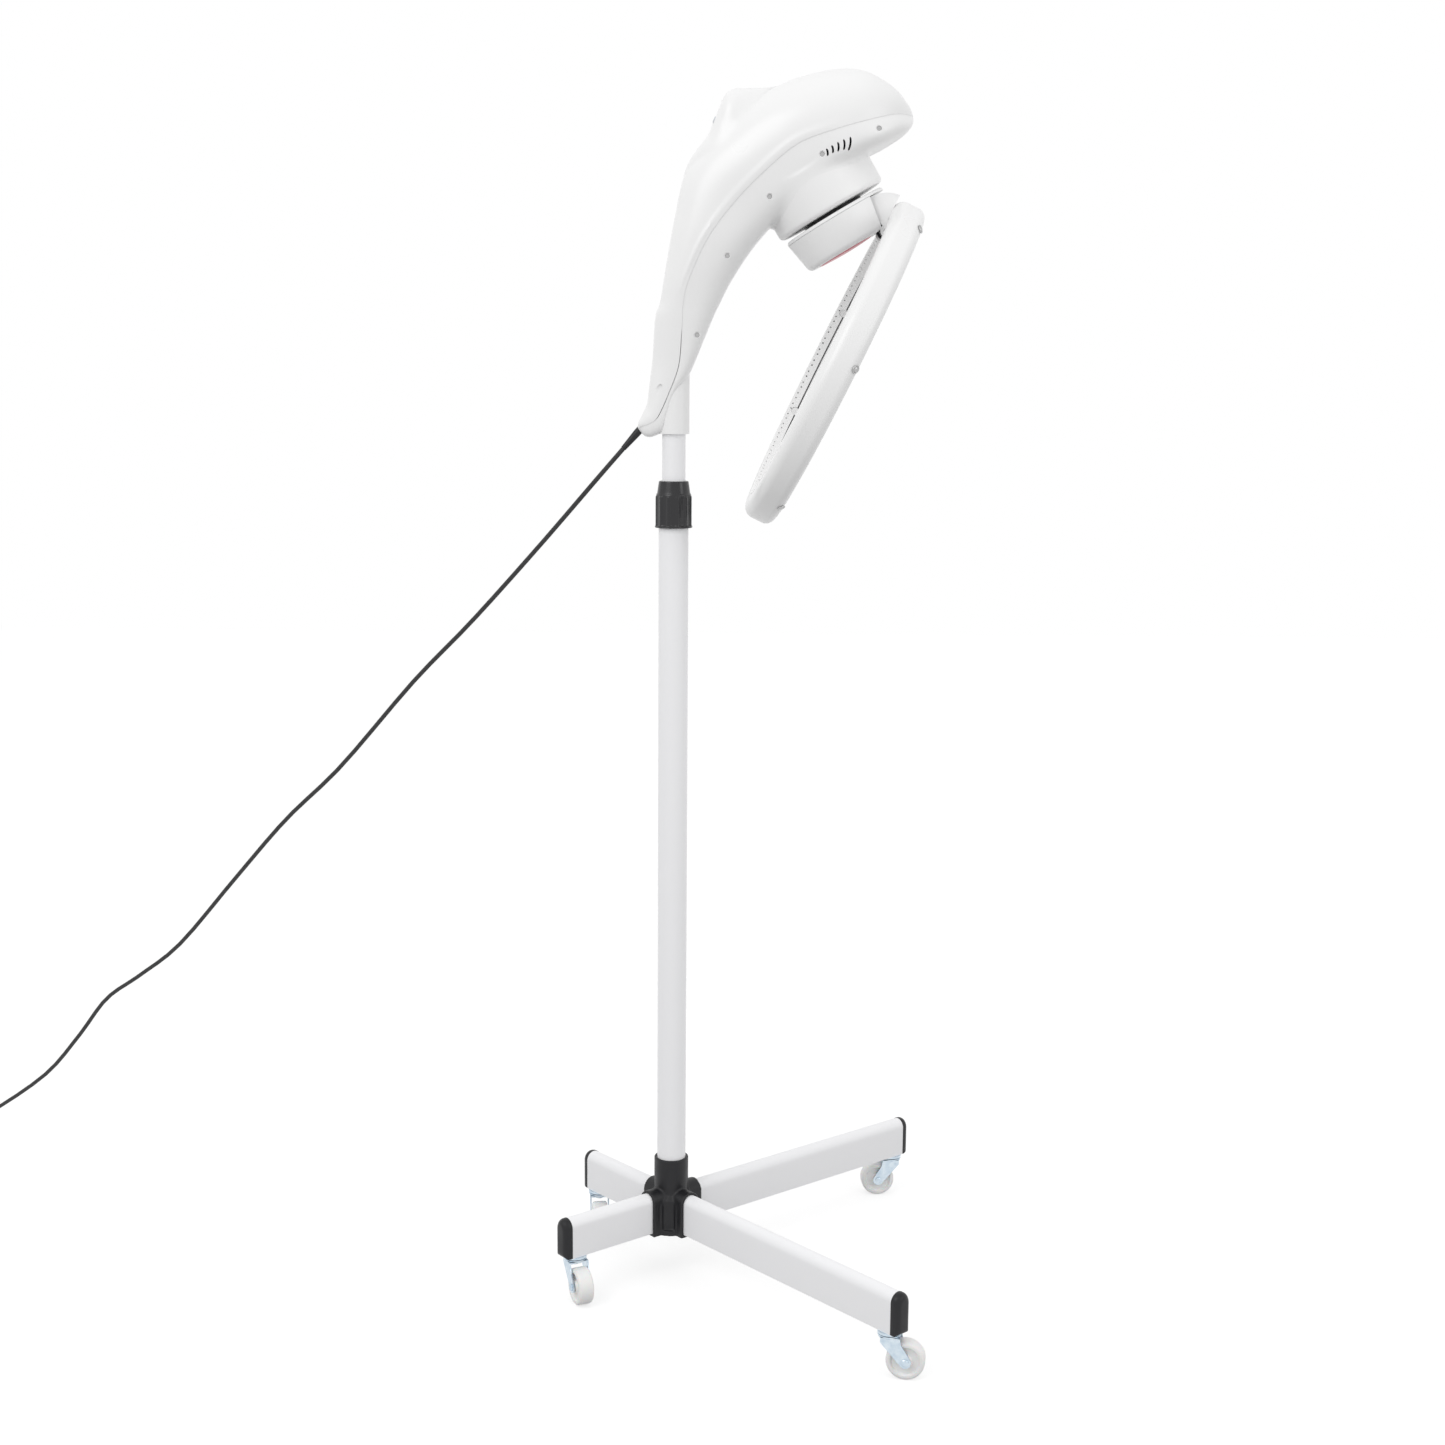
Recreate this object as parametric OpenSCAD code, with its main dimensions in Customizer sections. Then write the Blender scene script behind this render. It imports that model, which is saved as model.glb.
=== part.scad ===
// Orbiting infrared dryer on a four-caster floor stand.
// Millimetres. The floor is z = 0, the pole axis is the z axis, and the arm reaches out along +X.

/* [Stand] */
// Outer diameter of the two fixed pole tubes
pole_d = 32; // [30:1:36]
// Wall of the pole tubes and of the sliding mast
tube_wall = 1.5; // [1.2:0.1:2]
// Outer diameter of the sliding mast
mast_d = 25; // [20:1:25]
// Length of the lower pole tube
lower_len = 478; // [350:1:560]
// Length of the upper pole tube
upper_len = 320; // [260:1:400]
// Length of the sliding mast
mast_len = 560; // [480:1:580]
// Mast that shows between the clamp nut and the head
mast_show = 50; // [46:1:120]
// Height of the clamp nut
nut_h = 50; // [44:1:60]
// Diameter over the ribs of the clamp nut
nut_d = 40; // [38:1:48]

/* [Base] */
// Height of the hub moulding
hub_h = 85.5; // [76:0.5:110]
// Wall of the hub round the pole
hub_wall = 3.2; // [2.5:0.1:6]
// Width of a leg tube
leg_w = 20; // [18:1:26]
// Height of a leg tube
leg_h = 44; // [38:1:50]
// Wall of a leg tube
leg_wall = 1.5; // [1:0.1:2]
// Reach of the two front legs from the pole axis
front_reach = 365; // [320:1:420]
// Reach of the two rear legs from the pole axis
rear_reach = 152; // [140:1:260]
// Turn of the leg cross about the pole
base_yaw = -4.8; // [-20:0.1:20]
// Half the angle between the two front legs, and between the two rear legs
leg_spread = 44; // [40:0.5:48]
// Thickness of a leg cap outside the tube
cap_t = 7; // [3:0.1:8]

/* [Casters] */
// Diameter of a caster wheel
wheel_d = 40; // [34:1:46]
// Width of a caster wheel
wheel_w = 17; // [14:1:20]
// Overall height of a caster
caster_h = 50; // [48:1:62]
// Offset of the axle from the swivel axis
trail = 17; // [13:1:22]
// Distance of the swivel axis from the end of the leg
caster_inset = 19; // [17:1:30]
// Diameter of an axle
axle_d = 5; // [4:0.5:6]

/* [Head] */
// Wall of the two head covers
cover_wall = 2.5; // [2:0.1:3.5]
// Outer diameter of the pole socket at its mouth
socket_d = 33; // [30:1:34]
// Length of the pole socket
socket_len = 124; // [100:1:130]
// Half width of the control pod
pod_half = 36; // [34:1:44]
// Diameter of a push button
button_d = 7; // [6:0.5:8]

/* [Drive] */
// Outer diameter of the fixed drive housing
drum_d = 122.5; // [104:0.5:124]
// Tilt of the orbit axis from the vertical
drum_tilt = 30.8; // [20:0.1:34]
// Gap between the fixed housing and the turning carrier
drum_gap = 4.3; // [3.5:0.1:8]
// Depth of the turning carrier
carrier_h = 38.2; // [30:0.1:42]
// Diameter of the turning neck
neck_d = 67; // [62:1:69]
// Diameter of the lens
lens_d = 62; // [54:1:63]
// Module of the orbit gears
gear_m = 1; // [0.9:0.05:1.05]
// Teeth on the orbit gear
gear_teeth = 64; // [60:4:64]
// Teeth on the motor pinion
pinion_teeth = 16; // [15:1:16]

/* [Halo] */
// Outer radius of the halo
halo_r = 183; // [170:1:190]
// Radial thickness of the halo
halo_t = 25; // [24:1:32]
// Axial width of the halo
halo_w = 34; // [32:1:40]
// Angle between the halo's plane and the orbit axis
halo_angle = 56.8; // [48:0.1:62]
// Vent holes in each row of the inner band
vents = 72; // [48:8:80]
// Diameter of a vent hole
vent_d = 1.9; // [1.5:0.1:2.4]
// Diameter of the quartz heating tube
tube_d = 8; // [6:0.5:8.5]
// Half width of the hinge hood
hood_half = 34; // [28:0.5:36]

/* [Cord] */
// Diameter of the mains cord
cord_d = 5; // [4.5:0.1:6]

/* [Hidden] */
$fn = 64;
fit = 0.05;          // radial clearance of a running fit
gap = 0.3;           // clearance between parts that must not touch
hub_z = caster_h - 4;
pole_z = hub_z + 12;
seam_z = pole_z + lower_len;
pole_top = seam_z + upper_len;
nut_z = pole_top - 15;
head_z = nut_z + nut_h + mast_show;
mast_z = head_z + socket_len - 6 - mast_len;
pole_r = pole_d / 2;
mast_r = mast_d / 2;
bore_r = pole_r - tube_wall;
hub_r = pole_r + hub_wall;
leg_angle = [base_yaw + leg_spread, base_yaw - leg_spread, base_yaw + 180 - leg_spread,
    base_yaw - 180 + leg_spread];
leg_reach = [front_reach, front_reach, rear_reach, rear_reach];
leg_name = ["front_left", "front_right", "rear_left", "rear_right"];
caster_rest = [185, -10, -85, -65];          // where each caster trails at rest
hub_body_r = hub_r + 8.5;                     // hub between the leg sockets
socket_reach = hub_r + 15;                    // how far the leg sockets reach out
leg_root = hub_r + 3;                         // where a leg tube starts, inside its socket
leg_bolt = hub_r + 6.5;                       // where the bolt under a socket is
bolt_r = 2;
race_r = 12;
cap_plug = 5;                                 // how far a leg cap reaches into its tube
socket_r = socket_d / 2;

// the drive's own frame: z runs up the orbit axis, z = 0 is the housing's rim
drum_r = drum_d / 2;
drum_x = 165;
drum_z = head_z + 232;
housing_h = 46;
housing_wall = 2.5;
neck_r = neck_d / 2;
carrier_top = -drum_gap;
carrier_bottom = carrier_top - carrier_h;
lid_t = 3.5;
cup_floor = 2.4;
lens_r = lens_d / 2;
lens_x = -8;                                  // the lens sits off the axis, clear of the hinge
carrier_r = drum_r - 4.3;
window_x = 35.5;                              // flat cut on the carrier's hinge side
pin_x = 36.5;
pin_drop = 4;
pin_z = carrier_bottom - pin_drop;
pin_r = 3;
hood_r = carrier_h - lid_t + pin_drop - 0.5;  // the hood swings just under the lid
centre_d = gear_m * (gear_teeth + pinion_teeth) / 2;
gear_z = 8;
gear_face = 8;
plate_z = 20;
pinion_at = 200;                              // bearing of the pinion round the orbit axis

// the halo's own frame: z is the halo's axis towards the drive, x points up to the hinge
halo_in = halo_r - halo_t;
halo_half = halo_w / 2;
pin_u = halo_in - 12.5;                       // hinge pin above the halo's centre
pin_v = halo_half - 3.7;                      // hinge pin in front of the halo's mid plane
band_wall = 2;
shell_wall = 2;
halo_edge = 10;                               // rounding of the halo's outer edge at its mouth
halo_back_edge = 12;                          // and on the side of the drive

// ---- helpers ----

// points on an arc, both ends included
function arc(c, r, from, to, n = 6) =
    [for (i = [0:n]) let (a = from + (to - from) * i / n) c + r * [cos(a), sin(a)]];

// a smooth curve through a list of control rows, which may be numbers or points
function spline(p, t) =
    let (n = len(p) - 1, s = min(max(t, 0), n - 1e-6), i = floor(s), f = s - i,
        a = p[max(i - 1, 0)], b = p[i], c = p[i + 1], d = p[min(i + 2, n)])
    0.5 * (2 * b + (c - a) * f + (2 * a - 5 * b + 4 * c - d) * f * f
        + (3 * b - a - 3 * c + d) * f * f * f);

// power that keeps the sign, for rounded sections
function spow(v, e) = sign(v) * pow(abs(v), e);

// a closed skin between two grids of the same size, each a list of rows
module skin(outer, inner) {
    n = len(outer);
    m = len(outer[0]);
    function o(i, j) = i * m + j;
    function q(i, j) = n * m + i * m + j;
    points = [for (row = outer) each row, for (row = inner) each row];
    faces = [
        for (i = [0:n - 2], j = [0:m - 2]) each
            [[o(i, j), o(i + 1, j), o(i + 1, j + 1)], [o(i, j), o(i + 1, j + 1), o(i, j + 1)],
             [q(i, j), q(i + 1, j + 1), q(i + 1, j)], [q(i, j), q(i, j + 1), q(i + 1, j + 1)]],
        for (i = [0:n - 2]) each
            [[o(i, 0), q(i, 0), q(i + 1, 0)], [o(i, 0), q(i + 1, 0), o(i + 1, 0)],
             [o(i, m - 1), q(i + 1, m - 1), q(i, m - 1)],
             [o(i, m - 1), o(i + 1, m - 1), q(i + 1, m - 1)]],
        for (j = [0:m - 2]) each
            [[o(0, j), q(0, j + 1), q(0, j)], [o(0, j), o(0, j + 1), q(0, j + 1)],
             [o(n - 1, j), q(n - 1, j), q(n - 1, j + 1)],
             [o(n - 1, j), q(n - 1, j + 1), o(n - 1, j + 1)]]];
    polyhedron(points, faces, convexity = 8);
}

// a flat outline in the x-z plane, extruded to both sides of y = 0
module slab(w) rotate([90, 0, 0]) linear_extrude(w, center = true) children();

module at_drum() translate([drum_x, 0, drum_z]) rotate([0, -drum_tilt, 0]) children();

// from the drive's frame into the halo's frame
module at_halo() at_drum() translate([pin_x, 0, pin_z]) rotate([0, halo_angle - 90, 0])
    translate([-pin_u, 0, -pin_v]) children();

module at_pin_in_halo() translate([pin_u, 0, pin_v]) children();

module at_leg(i) rotate(leg_angle[i]) children();

module at_caster(i) at_leg(i) translate([leg_reach[i] - caster_inset, 0, 0])
    rotate(caster_rest[i] - leg_angle[i]) children();

// ---- stand ----

// flat-bottomed outline with a round top
module leg_outline(w, h) {
    translate([-w / 2, 0]) square([w, h - w / 2]);
    translate([0, h - w / 2]) circle(d = w);
}

module leg_prism(w, h, from, to) rotate([90, 0, 90]) translate([0, 0, from])
    linear_extrude(to - from) leg_outline(w, h);

module base_hub() color("#2b2b2f") difference() {
    body_h = leg_h - 8;
    union() {
        translate([0, 0, hub_z]) cylinder(r = hub_r, h = hub_h);
        translate([0, 0, hub_z]) cylinder(r = hub_body_r, h = body_h);
        translate([0, 0, hub_z + body_h]) cylinder(r1 = hub_body_r, r2 = hub_r - 0.5, h = 10);
        for (i = [0:3]) at_leg(i) translate([0, 0, hub_z])
            leg_prism(leg_w + 6, leg_h + 7, pole_r + 1, socket_reach);
    }
    translate([0, 0, pole_z]) cylinder(r = pole_r, h = hub_h);
    translate([0, 0, hub_z - 1]) cylinder(r = pole_r - 4, h = 9);
    for (i = [0:3]) at_leg(i) translate([0, 0, caster_h]) leg_prism(leg_w, leg_h, leg_root, socket_reach + 9);
    // upright recesses between neighbouring sockets
    for (a = [0:90:270]) rotate(base_yaw + a) translate([hub_body_r - 3.5, -7, hub_z + 6])
        cube([8, 14, body_h]);
    for (i = [0:3]) at_leg(i) translate([leg_bolt, 0, hub_z - 1]) cylinder(r = bolt_r, h = 6);
}

module leg(i) color("#e4e4e8") difference() {
    at_leg(i) translate([0, 0, caster_h]) leg_prism(leg_w, leg_h, leg_root, leg_reach[i] - cap_t);
    at_leg(i) translate([0, 0, caster_h + leg_wall])
        leg_prism(leg_w - 2 * leg_wall, leg_h - 2 * leg_wall, leg_root - 1, leg_reach[i]);
    at_leg(i) translate([leg_bolt, 0, caster_h - 1]) cylinder(r = bolt_r, h = leg_wall + 2);
    at_caster(i) translate([0, 0, caster_h - 1]) cylinder(r = 4, h = leg_wall + 2);
}

module leg_caps() color("#232326") for (i = [0:3]) at_leg(i) {
    end = leg_reach[i];
    difference() {
        translate([0, 0, caster_h]) leg_prism(leg_w, leg_h, end - cap_t, end);
        // rounded outer corners
        for (s = [-1, 1]) translate([end, s * leg_w / 2, caster_h - 1]) rotate(45)
            cube([5, 5, 2 * leg_h], center = true);
    }
    difference() {
        translate([0, 0, caster_h + leg_wall])
            leg_prism(leg_w - 2 * leg_wall, leg_h - 2 * leg_wall, end - cap_t - cap_plug, end - cap_t);
        translate([0, 0, caster_h + leg_wall + 2])
            leg_prism(leg_w - 2 * leg_wall - 4, leg_h - 2 * leg_wall - 4, end - cap_t - cap_plug - 1,
                end - cap_t);
    }
}

module leg_bolts() color("#9aa0a6") for (i = [0:3]) at_leg(i) translate([leg_bolt, 0, 0]) {
    translate([0, 0, hub_z - 2.5]) cylinder(r = bolt_r + 1.2, h = 2.5);
    translate([0, 0, hub_z - 0.1]) cylinder(r = bolt_r, h = caster_h + leg_wall - hub_z + 0.2);
    translate([0, 0, caster_h + leg_wall]) cylinder(r = bolt_r + 1.2, h = 3);
}

module caster_studs() color("#b9c2cb") for (i = [0:3]) at_caster(i) {
    translate([0, 0, caster_h - 2.5]) cylinder(r = race_r + 0.5, h = 2.5);
    translate([0, 0, caster_h - 0.1]) cylinder(r = 4, h = 12);
    translate([0, 0, caster_h + leg_wall]) cylinder(r = 6, h = 5, $fn = 6);
    translate([0, 0, caster_h - 8.5]) cylinder(r = 3, h = 7);
    translate([0, 0, caster_h - 10.2]) cylinder(r = 4.6, h = 1.8);
}

module lower_pole() color("#e4e4e8") difference() {
    translate([0, 0, pole_z]) cylinder(r = pole_r, h = lower_len);
    translate([0, 0, pole_z - 1]) cylinder(r = bore_r, h = lower_len + 2);
}

module pole_joint() color("#9aa0a6") difference() {
    translate([0, 0, seam_z - 40]) cylinder(r = bore_r, h = 80);
    translate([0, 0, seam_z - 41]) cylinder(r = mast_r + 0.6, h = 82);
}

module upper_pole() color("#e4e4e8") difference() {
    translate([0, 0, seam_z]) cylinder(r = pole_r, h = upper_len);
    translate([0, 0, seam_z - 1]) cylinder(r = bore_r, h = upper_len + 2);
}

// split guide that the nut squeezes round the mast
module clamp_collet() color("#2b2b2f") difference() {
    translate([0, 0, pole_top]) rotate_extrude() polygon([
        [mast_r + fit, -45], [bore_r, -45], [bore_r, 0], [pole_r, 0], [pole_r, 3], [pole_r - 1, 3],
        [pole_r - 1, 19], [mast_r + 1.6, 28], [mast_r + fit, 28]]);
    for (a = [0:60:120]) translate([0, 0, pole_top + 17]) rotate(a)
        translate([-pole_d, -0.7, 0]) cube([2 * pole_d, 1.4, 20]);
}

module clamp_nut() color("#1f1f22") translate([0, 0, nut_z]) {
    ribs = 12;
    body_r = nut_d / 2 - 1.2;
    up = nut_h - 14;
    difference() {
        union() {
            cylinder(r = nut_d / 2 + 0.3, h = 2);
            cylinder(r = body_r, h = up);
            for (a = [0:360 / ribs:359]) rotate(a + 15) translate([body_r - 2.2, 0, 0])
                cylinder(r = 3.4, h = up - 2);
            translate([0, 0, up]) cylinder(r1 = body_r - 0.8, r2 = mast_r + 3.4, h = nut_h - up);
        }
        translate([0, 0, -1]) cylinder(r = pole_r + gap, h = 19 + gap);
        translate([0, 0, 17]) cylinder(r = pole_r - 1 + fit, h = 17.3);
        translate([0, 0, 34.2]) cylinder(r1 = pole_r - 1 + fit, r2 = mast_r + 1.6 + gap, h = 9.4);
        translate([0, 0, 40]) cylinder(r = mast_r + gap, h = nut_h);
    }
}

module mast() color("#e4e4e8") difference() {
    translate([0, 0, mast_z]) cylinder(r = mast_r, h = mast_len);
    translate([0, 0, mast_z - 1]) cylinder(r = mast_r - tube_wall, h = mast_len + 2);
}

module mast_plugs() color("#2b2b2f") for (s = [0, 1]) translate([0, 0, mast_z + s * mast_len])
    mirror([0, 0, s]) translate([0, 0, -2]) {
        cylinder(r = mast_r, h = 2);
        cylinder(r = mast_r - tube_wall, h = 14);
    }

// ---- casters ----

module caster_fork(i) color("#c3d0dc") at_caster(i) difference() {
    top = caster_h - 2.8;
    arm = wheel_w / 2 + 1;
    axle_z = wheel_d / 2;
    union() {
        translate([0, 0, top - 2.4]) cylinder(r = race_r, h = 2.4);
        translate([0, 0, top - 4.8]) cylinder(r = race_r - 1.4, h = 2.4);
        for (s = [-1, 1]) translate([0, s * (arm + 0.9), 0]) slab(1.8) hull() {
            translate([-7, top - 6]) square([15, 3.6]);
            translate([trail, axle_z]) circle(r = 5);
        }
        translate([-7, -arm - 1.8, top - 4.8]) cube([15, 2 * arm + 3.6, 1.8]);
        translate([trail, 0, axle_z]) rotate([90, 0, 0]) cylinder(d = axle_d, h = 2 * arm + 6, center = true);
        for (s = [-1, 1]) translate([trail, s * (arm + 2.6), axle_z]) rotate([90, 0, 0])
            cylinder(r = axle_d / 2 + 1.3, h = 1.6, center = true);
    }
    translate([0, 0, top - 6]) cylinder(r = 3 + fit, h = 8);
    translate([0, 0, top - 8.2]) cylinder(r = 5, h = 3.5);
}

module caster_wheel(i) color("#ecebe8") at_caster(i) translate([trail, 0, wheel_d / 2])
    rotate([90, 0, 0]) rotate_extrude($fn = 96) {
        r = wheel_d / 2;
        half = wheel_w / 2;
        polygon([[axle_d / 2 + fit, -half], [6, -half], [7.5, -half + 2.5], [r - 6, -half + 2.5],
            [r - 4.5, -half], each arc([r - 3, -half + 3], 3, -90, 0), each arc([r - 3, half - 3], 3, 0, 90),
            [r - 4.5, half], [r - 6, half - 2.5], [7.5, half - 2.5], [6, half], [axle_d / 2 + fit, half]]);
    }

// ---- head covers ----

// Each section of the housing: top of the back cover, parting line, underside of the front
// cover (all x and height above the socket's mouth), and half width.
head_sections = [
    [-39, 8, -38, 5.5, -36, 2, 4.5],
    [-37.3, 13.5, -33.5, 8, -30, -3, 10],
    [-33, 22, -26, 11, -21, -2.5, 13.5],
    [-28.6, 32, -17, 18, -9, 6.5, 16],
    [-26.3, 50, -5, 44, 1.5, 40, 18.5],
    [-23, 78, 5, 72, 16, 62, 21.5],
    [-21, 112, 8, 106, 33.6, 104, 26],
    [-19.3, 126, 8.7, 120, 41, 121.7, 28],
    [-14.8, 139, 9.6, 136, 47, 134.5, 30],
    [-9.6, 171, 15, 159, 60, 160, 34],
    [0, 224, 34, 200, 81, 192, 41],
    [14, 276, 60, 235, 104, 219, 47],
    [52, 317, 92, 267, 130, 242, 56.5],
    [98, 353.5, 126, 294, 160, 265, 65],
    [146, 371.3, 163, 308, 193, 285.5, 68],
    [190, 374.5, 198, 318.5, 218, 298, 63],
    [224, 359, 226, 326, 238, 310, 46],
    [242, 340.5, 242, 328, 246.5, 319, 21],
    [247.8, 330, 248, 328.5, 248.2, 327.4, 1.2]];
head_steps = 44;
arch_steps = 18;

function head_row(k) = spline(head_sections, k * (len(head_sections) - 1) / head_steps);

// one arch of a cover: side 0 is the back cover, side 1 the front cover; inset shrinks it
function arch(row, side, inset, round) =
    let (p = [row[2], row[3]], t = side == 0 ? [row[0], row[1]] : [row[4], row[5]],
        h = norm(t - p), w = row[6] - (side == 1 ? 0.7 : 0),
        h1 = max(h - inset, 0.4 * h), w1 = max(w - inset, 0.4 * w), d = (t - p) / h)
    [for (j = [0:arch_steps]) let (a = 180 * j / arch_steps, q = p + d * h1 * spow(sin(a), round))
        [q[0], w1 * spow(cos(a), round), q[1] + head_z]];

// the front cover grows boxier where it wraps the drive housing, section numbers 9 to 13
back_round = 0.84;
function ease(t) = let (c = min(max(t, 0), 1)) c * c * (3 - 2 * c);
function front_round(k) = 0.66 - 0.24 * ease((k - 9) / 3.5) + 0.1 * ease((k - 14.5) / 2.5);

module cover(side) {
    last = len(head_sections) - 1;
    function roundness(k) = side == 0 ? back_round : front_round(k * last / head_steps);
    outer = [for (k = [0:head_steps]) arch(head_row(k), side, 0, roundness(k))];
    inner = [for (k = [0:head_steps]) arch(head_row(k), side, cover_wall, roundness(k))];
    if (side == 1) skin(outer, inner);
    else mirror([0, 1, 0]) skin(outer, inner);
}

// a point on the front cover's skin: section number along the head, angle round the arch
function front_point(k, a) =
    let (r = spline(head_sections, k), e = front_round(k), p = [r[2], r[3]], b = [r[4], r[5]],
        q = p + (b - p) * spow(sin(a), e))
    [q[0], (r[6] - 0.7) * spow(cos(a), e), q[1] + head_z];

// screws along each side of the front cover: section number and angle round the arch
screw_spots = [[5.95, 32.7], [9.68, 27.4], [11.56, 13.8], [13.22, 11.7], [15.06, 9]];
screw_head_r = 2.3;
post_r = 3.4;
post_h = 6;
screw_r = 1.4;

module screw_places() for (p = screw_spots, s = [-1, 1]) let (at = front_point(p[0], p[1]))
    translate([at[0], s * at[1], at[2]]) rotate([s * 90, 0, 0]) children();

module back_cover() color("#f3f3f2") difference() {
    cover(0);
    socket_room();
    relief_room();
    // cable slots low on the sides
    for (s = [-1, 1]) translate([0, 14 * s, head_z]) slab(16) slot([[-19.9, 41.4], [-12.8, 52]], 3.6);
}

module front_cover() color("#f3f3f2") difference() {
    cover(1);
    socket_room();
    relief_room();
    for (s = [-1, 1], v = vent_slots) translate([0, 62 * s, head_z]) slab(24) slot(v, 1.5);
    at_drum() translate([0, 0, -30]) cylinder(r = drum_r + 0.05, h = 30 + housing_h + 1);
    screw_places() translate([0, 0, -9]) cylinder(r = post_r, h = 30, $fn = 32);
}

// posts that the cover screws bite into, each with a cup for the screw's head
module cover_posts() color("#f3f3f2") screw_places() difference() {
    translate([0, 0, 0.9]) cylinder(r = post_r, h = post_h);
    translate([0, 0, -1]) cylinder(r = screw_head_r + 0.2, h = 4.4);
    cylinder(r = screw_r, h = 12);
}

// vents beside the fourth screw: lower and upper end of each, heights above the socket's mouth
vent_slots = [
    [[156.4, 281.8], [155.1, 289]], [[161.7, 284.5], [160.3, 292.2]], [[166.8, 286.1], [166.3, 295.5]],
    [[172.6, 287.7], [172.2, 298.2]], [[177.2, 287.2], [178.9, 300.7]]];

module slot(ends, w) let (v = ends[1] - ends[0])
    translate(ends[0]) rotate(atan2(v[1], v[0])) translate([0, -w / 2]) square([norm(v), w]);

module socket_room() translate([0, 0, head_z - 20]) cylinder(r = socket_r, h = socket_len + 20.5);

// passage for the strain relief through the end of the tail
module relief_room() translate(relief_in) aim(relief_out - relief_in) cylinder(r = relief_r, h = 40);

module pole_socket() color("#f3f3f2") difference() {
    translate([0, 0, head_z]) cylinder(r = socket_r, h = socket_len);
    translate([0, 0, head_z - 1]) cylinder(r = mast_r + fit, h = socket_len - 3);
}

module cover_screws() color("#9aa0a6") screw_places() {
    translate([0, 0, 1.8]) cylinder(r = screw_head_r, h = 1.6);
    translate([0, 0, 3.3]) cylinder(r = screw_r, h = post_h - 2.4);
}

// ---- control pod on the back of the head ----

// outline along the hump, and the share of its half width at each point
pod_line = [[13, 264, 0.4], [17.4, 281, 0.66], [25, 293.8, 0.86], [33.6, 305.6, 0.97], [38.7, 317.8, 1],
    [43.8, 330.7, 1], [49, 343.5, 1], [53.2, 350.2, 0.98], [61, 354.6, 0.93], [78, 355.7, 0.78],
    [93, 355.6, 0.58], [105, 354, 0.36]];
pod_focus = [95, 255];
pod_steps = 16;
pod_rows = 22;
pod_round = 0.56;
panel_at = [43.6, 330.2];                     // middle of the flat face
panel_lean = -68;

function pod_row(k, depth) =
    let (p = spline(pod_line, k * (len(pod_line) - 1) / pod_rows), c = [p[0], p[1]],
        inner = c + depth * (pod_focus - c))
    [for (j = [0:pod_steps]) let (a = 180 * j / pod_steps, q = inner + spow(sin(a), pod_round) * (c - inner))
        [q[0], pod_half * p[2] * spow(cos(a), pod_round), q[1] + head_z]];

module at_panel() translate([panel_at[0], 0, head_z + panel_at[1]]) rotate([0, panel_lean, 0]) children();

button_y = [-15, -5, 5, 15];
button_row = -8;
window_row = 6.5;
window_size = [13, 36];

// the whole back half of the head as one block, which the pod's foot is cut by
module head_block() {
    rows = [for (k = [0:head_steps]) arch(head_row(k), 0, 0, back_round)];
    core = [for (k = [0:head_steps]) let (r = head_row(k))
        [for (j = [0:arch_steps]) [r[2] + 6, r[6] * 0.5 * cos(180 * j / arch_steps), r[3] - 8 + head_z]]];
    mirror([0, 1, 0]) skin(rows, core);
}

module control_pod() color("#f3f3f2") difference() {
    mirror([0, 1, 0]) skin([for (k = [0:pod_rows]) pod_row(k, 0.45)],
        [for (k = [0:pod_rows]) let (row = pod_row(k, 0.45), foot = pod_row(k, 0.46)[0])
            [for (p = row) [foot[0], p[1] * 0.97, foot[2]]]]);
    head_block();
    at_panel() translate([window_row, 0, -1]) cube([window_size[0], window_size[1], 6], center = true);
    at_panel() for (y = button_y) translate([button_row, y, -7]) cylinder(r = button_d / 2 + 0.3, h = 20);
}

module display_window() color("#20242b") at_panel() translate([window_row, 0, -2.4])
    cube([window_size[0] - 0.2, window_size[1] - 0.2, 3.2], center = true);

// a button stands 0.3 proud and has room for its travel below it
module button(i) color("#d9dde2") at_panel() translate([button_row, button_y[i], -5.6]) {
    cylinder(d = button_d, h = 5.3);
    translate([0, 0, 5.3]) cylinder(d1 = button_d, d2 = button_d - 1.2, h = 0.6);
}

// ---- drive: fixed housing in the head ----

module drive_housing() color("#f3f3f2") at_drum() rotate_extrude($fn = 128) {
    polygon([[neck_r + fit, 0], each arc([drum_r - 5, 5], 5, -90, 0), [drum_r, housing_h],
        [drum_r - housing_wall, housing_h], [drum_r - housing_wall, 5.5], [drum_r - 5.5, 3],
        [neck_r + fit, 3]]);
}

// bridge plate that carries the motor
module drive_plate() color("#b9c2cb") at_drum() difference() {
    union() {
        translate([0, 0, plate_z]) cylinder(r = drum_r - housing_wall, h = 2);
        for (a = [30, 140, 250]) rotate(a) translate([drum_r - housing_wall - 6.5, 0, 3])
            cylinder(r = 3, h = plate_z - 2.9);
    }
    translate([0, 0, plate_z - 1]) cylinder(r = 14, h = 4);
    rotate(pinion_at) translate([centre_d, 0, plate_z - 1]) cylinder(r = 5, h = 4);
}

module gear_motor() color("#8d9299") at_drum() rotate(pinion_at) translate([centre_d, 0, 0]) {
    translate([-8, 0, plate_z + 2]) cylinder(r = 18, h = 12);
    translate([-8, 0, plate_z + 14]) cylinder(r = 14, h = 16);
    translate([0, 0, gear_z - 0.5]) cylinder(r = 2.5, h = plate_z + 3 - gear_z);
}

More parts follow.
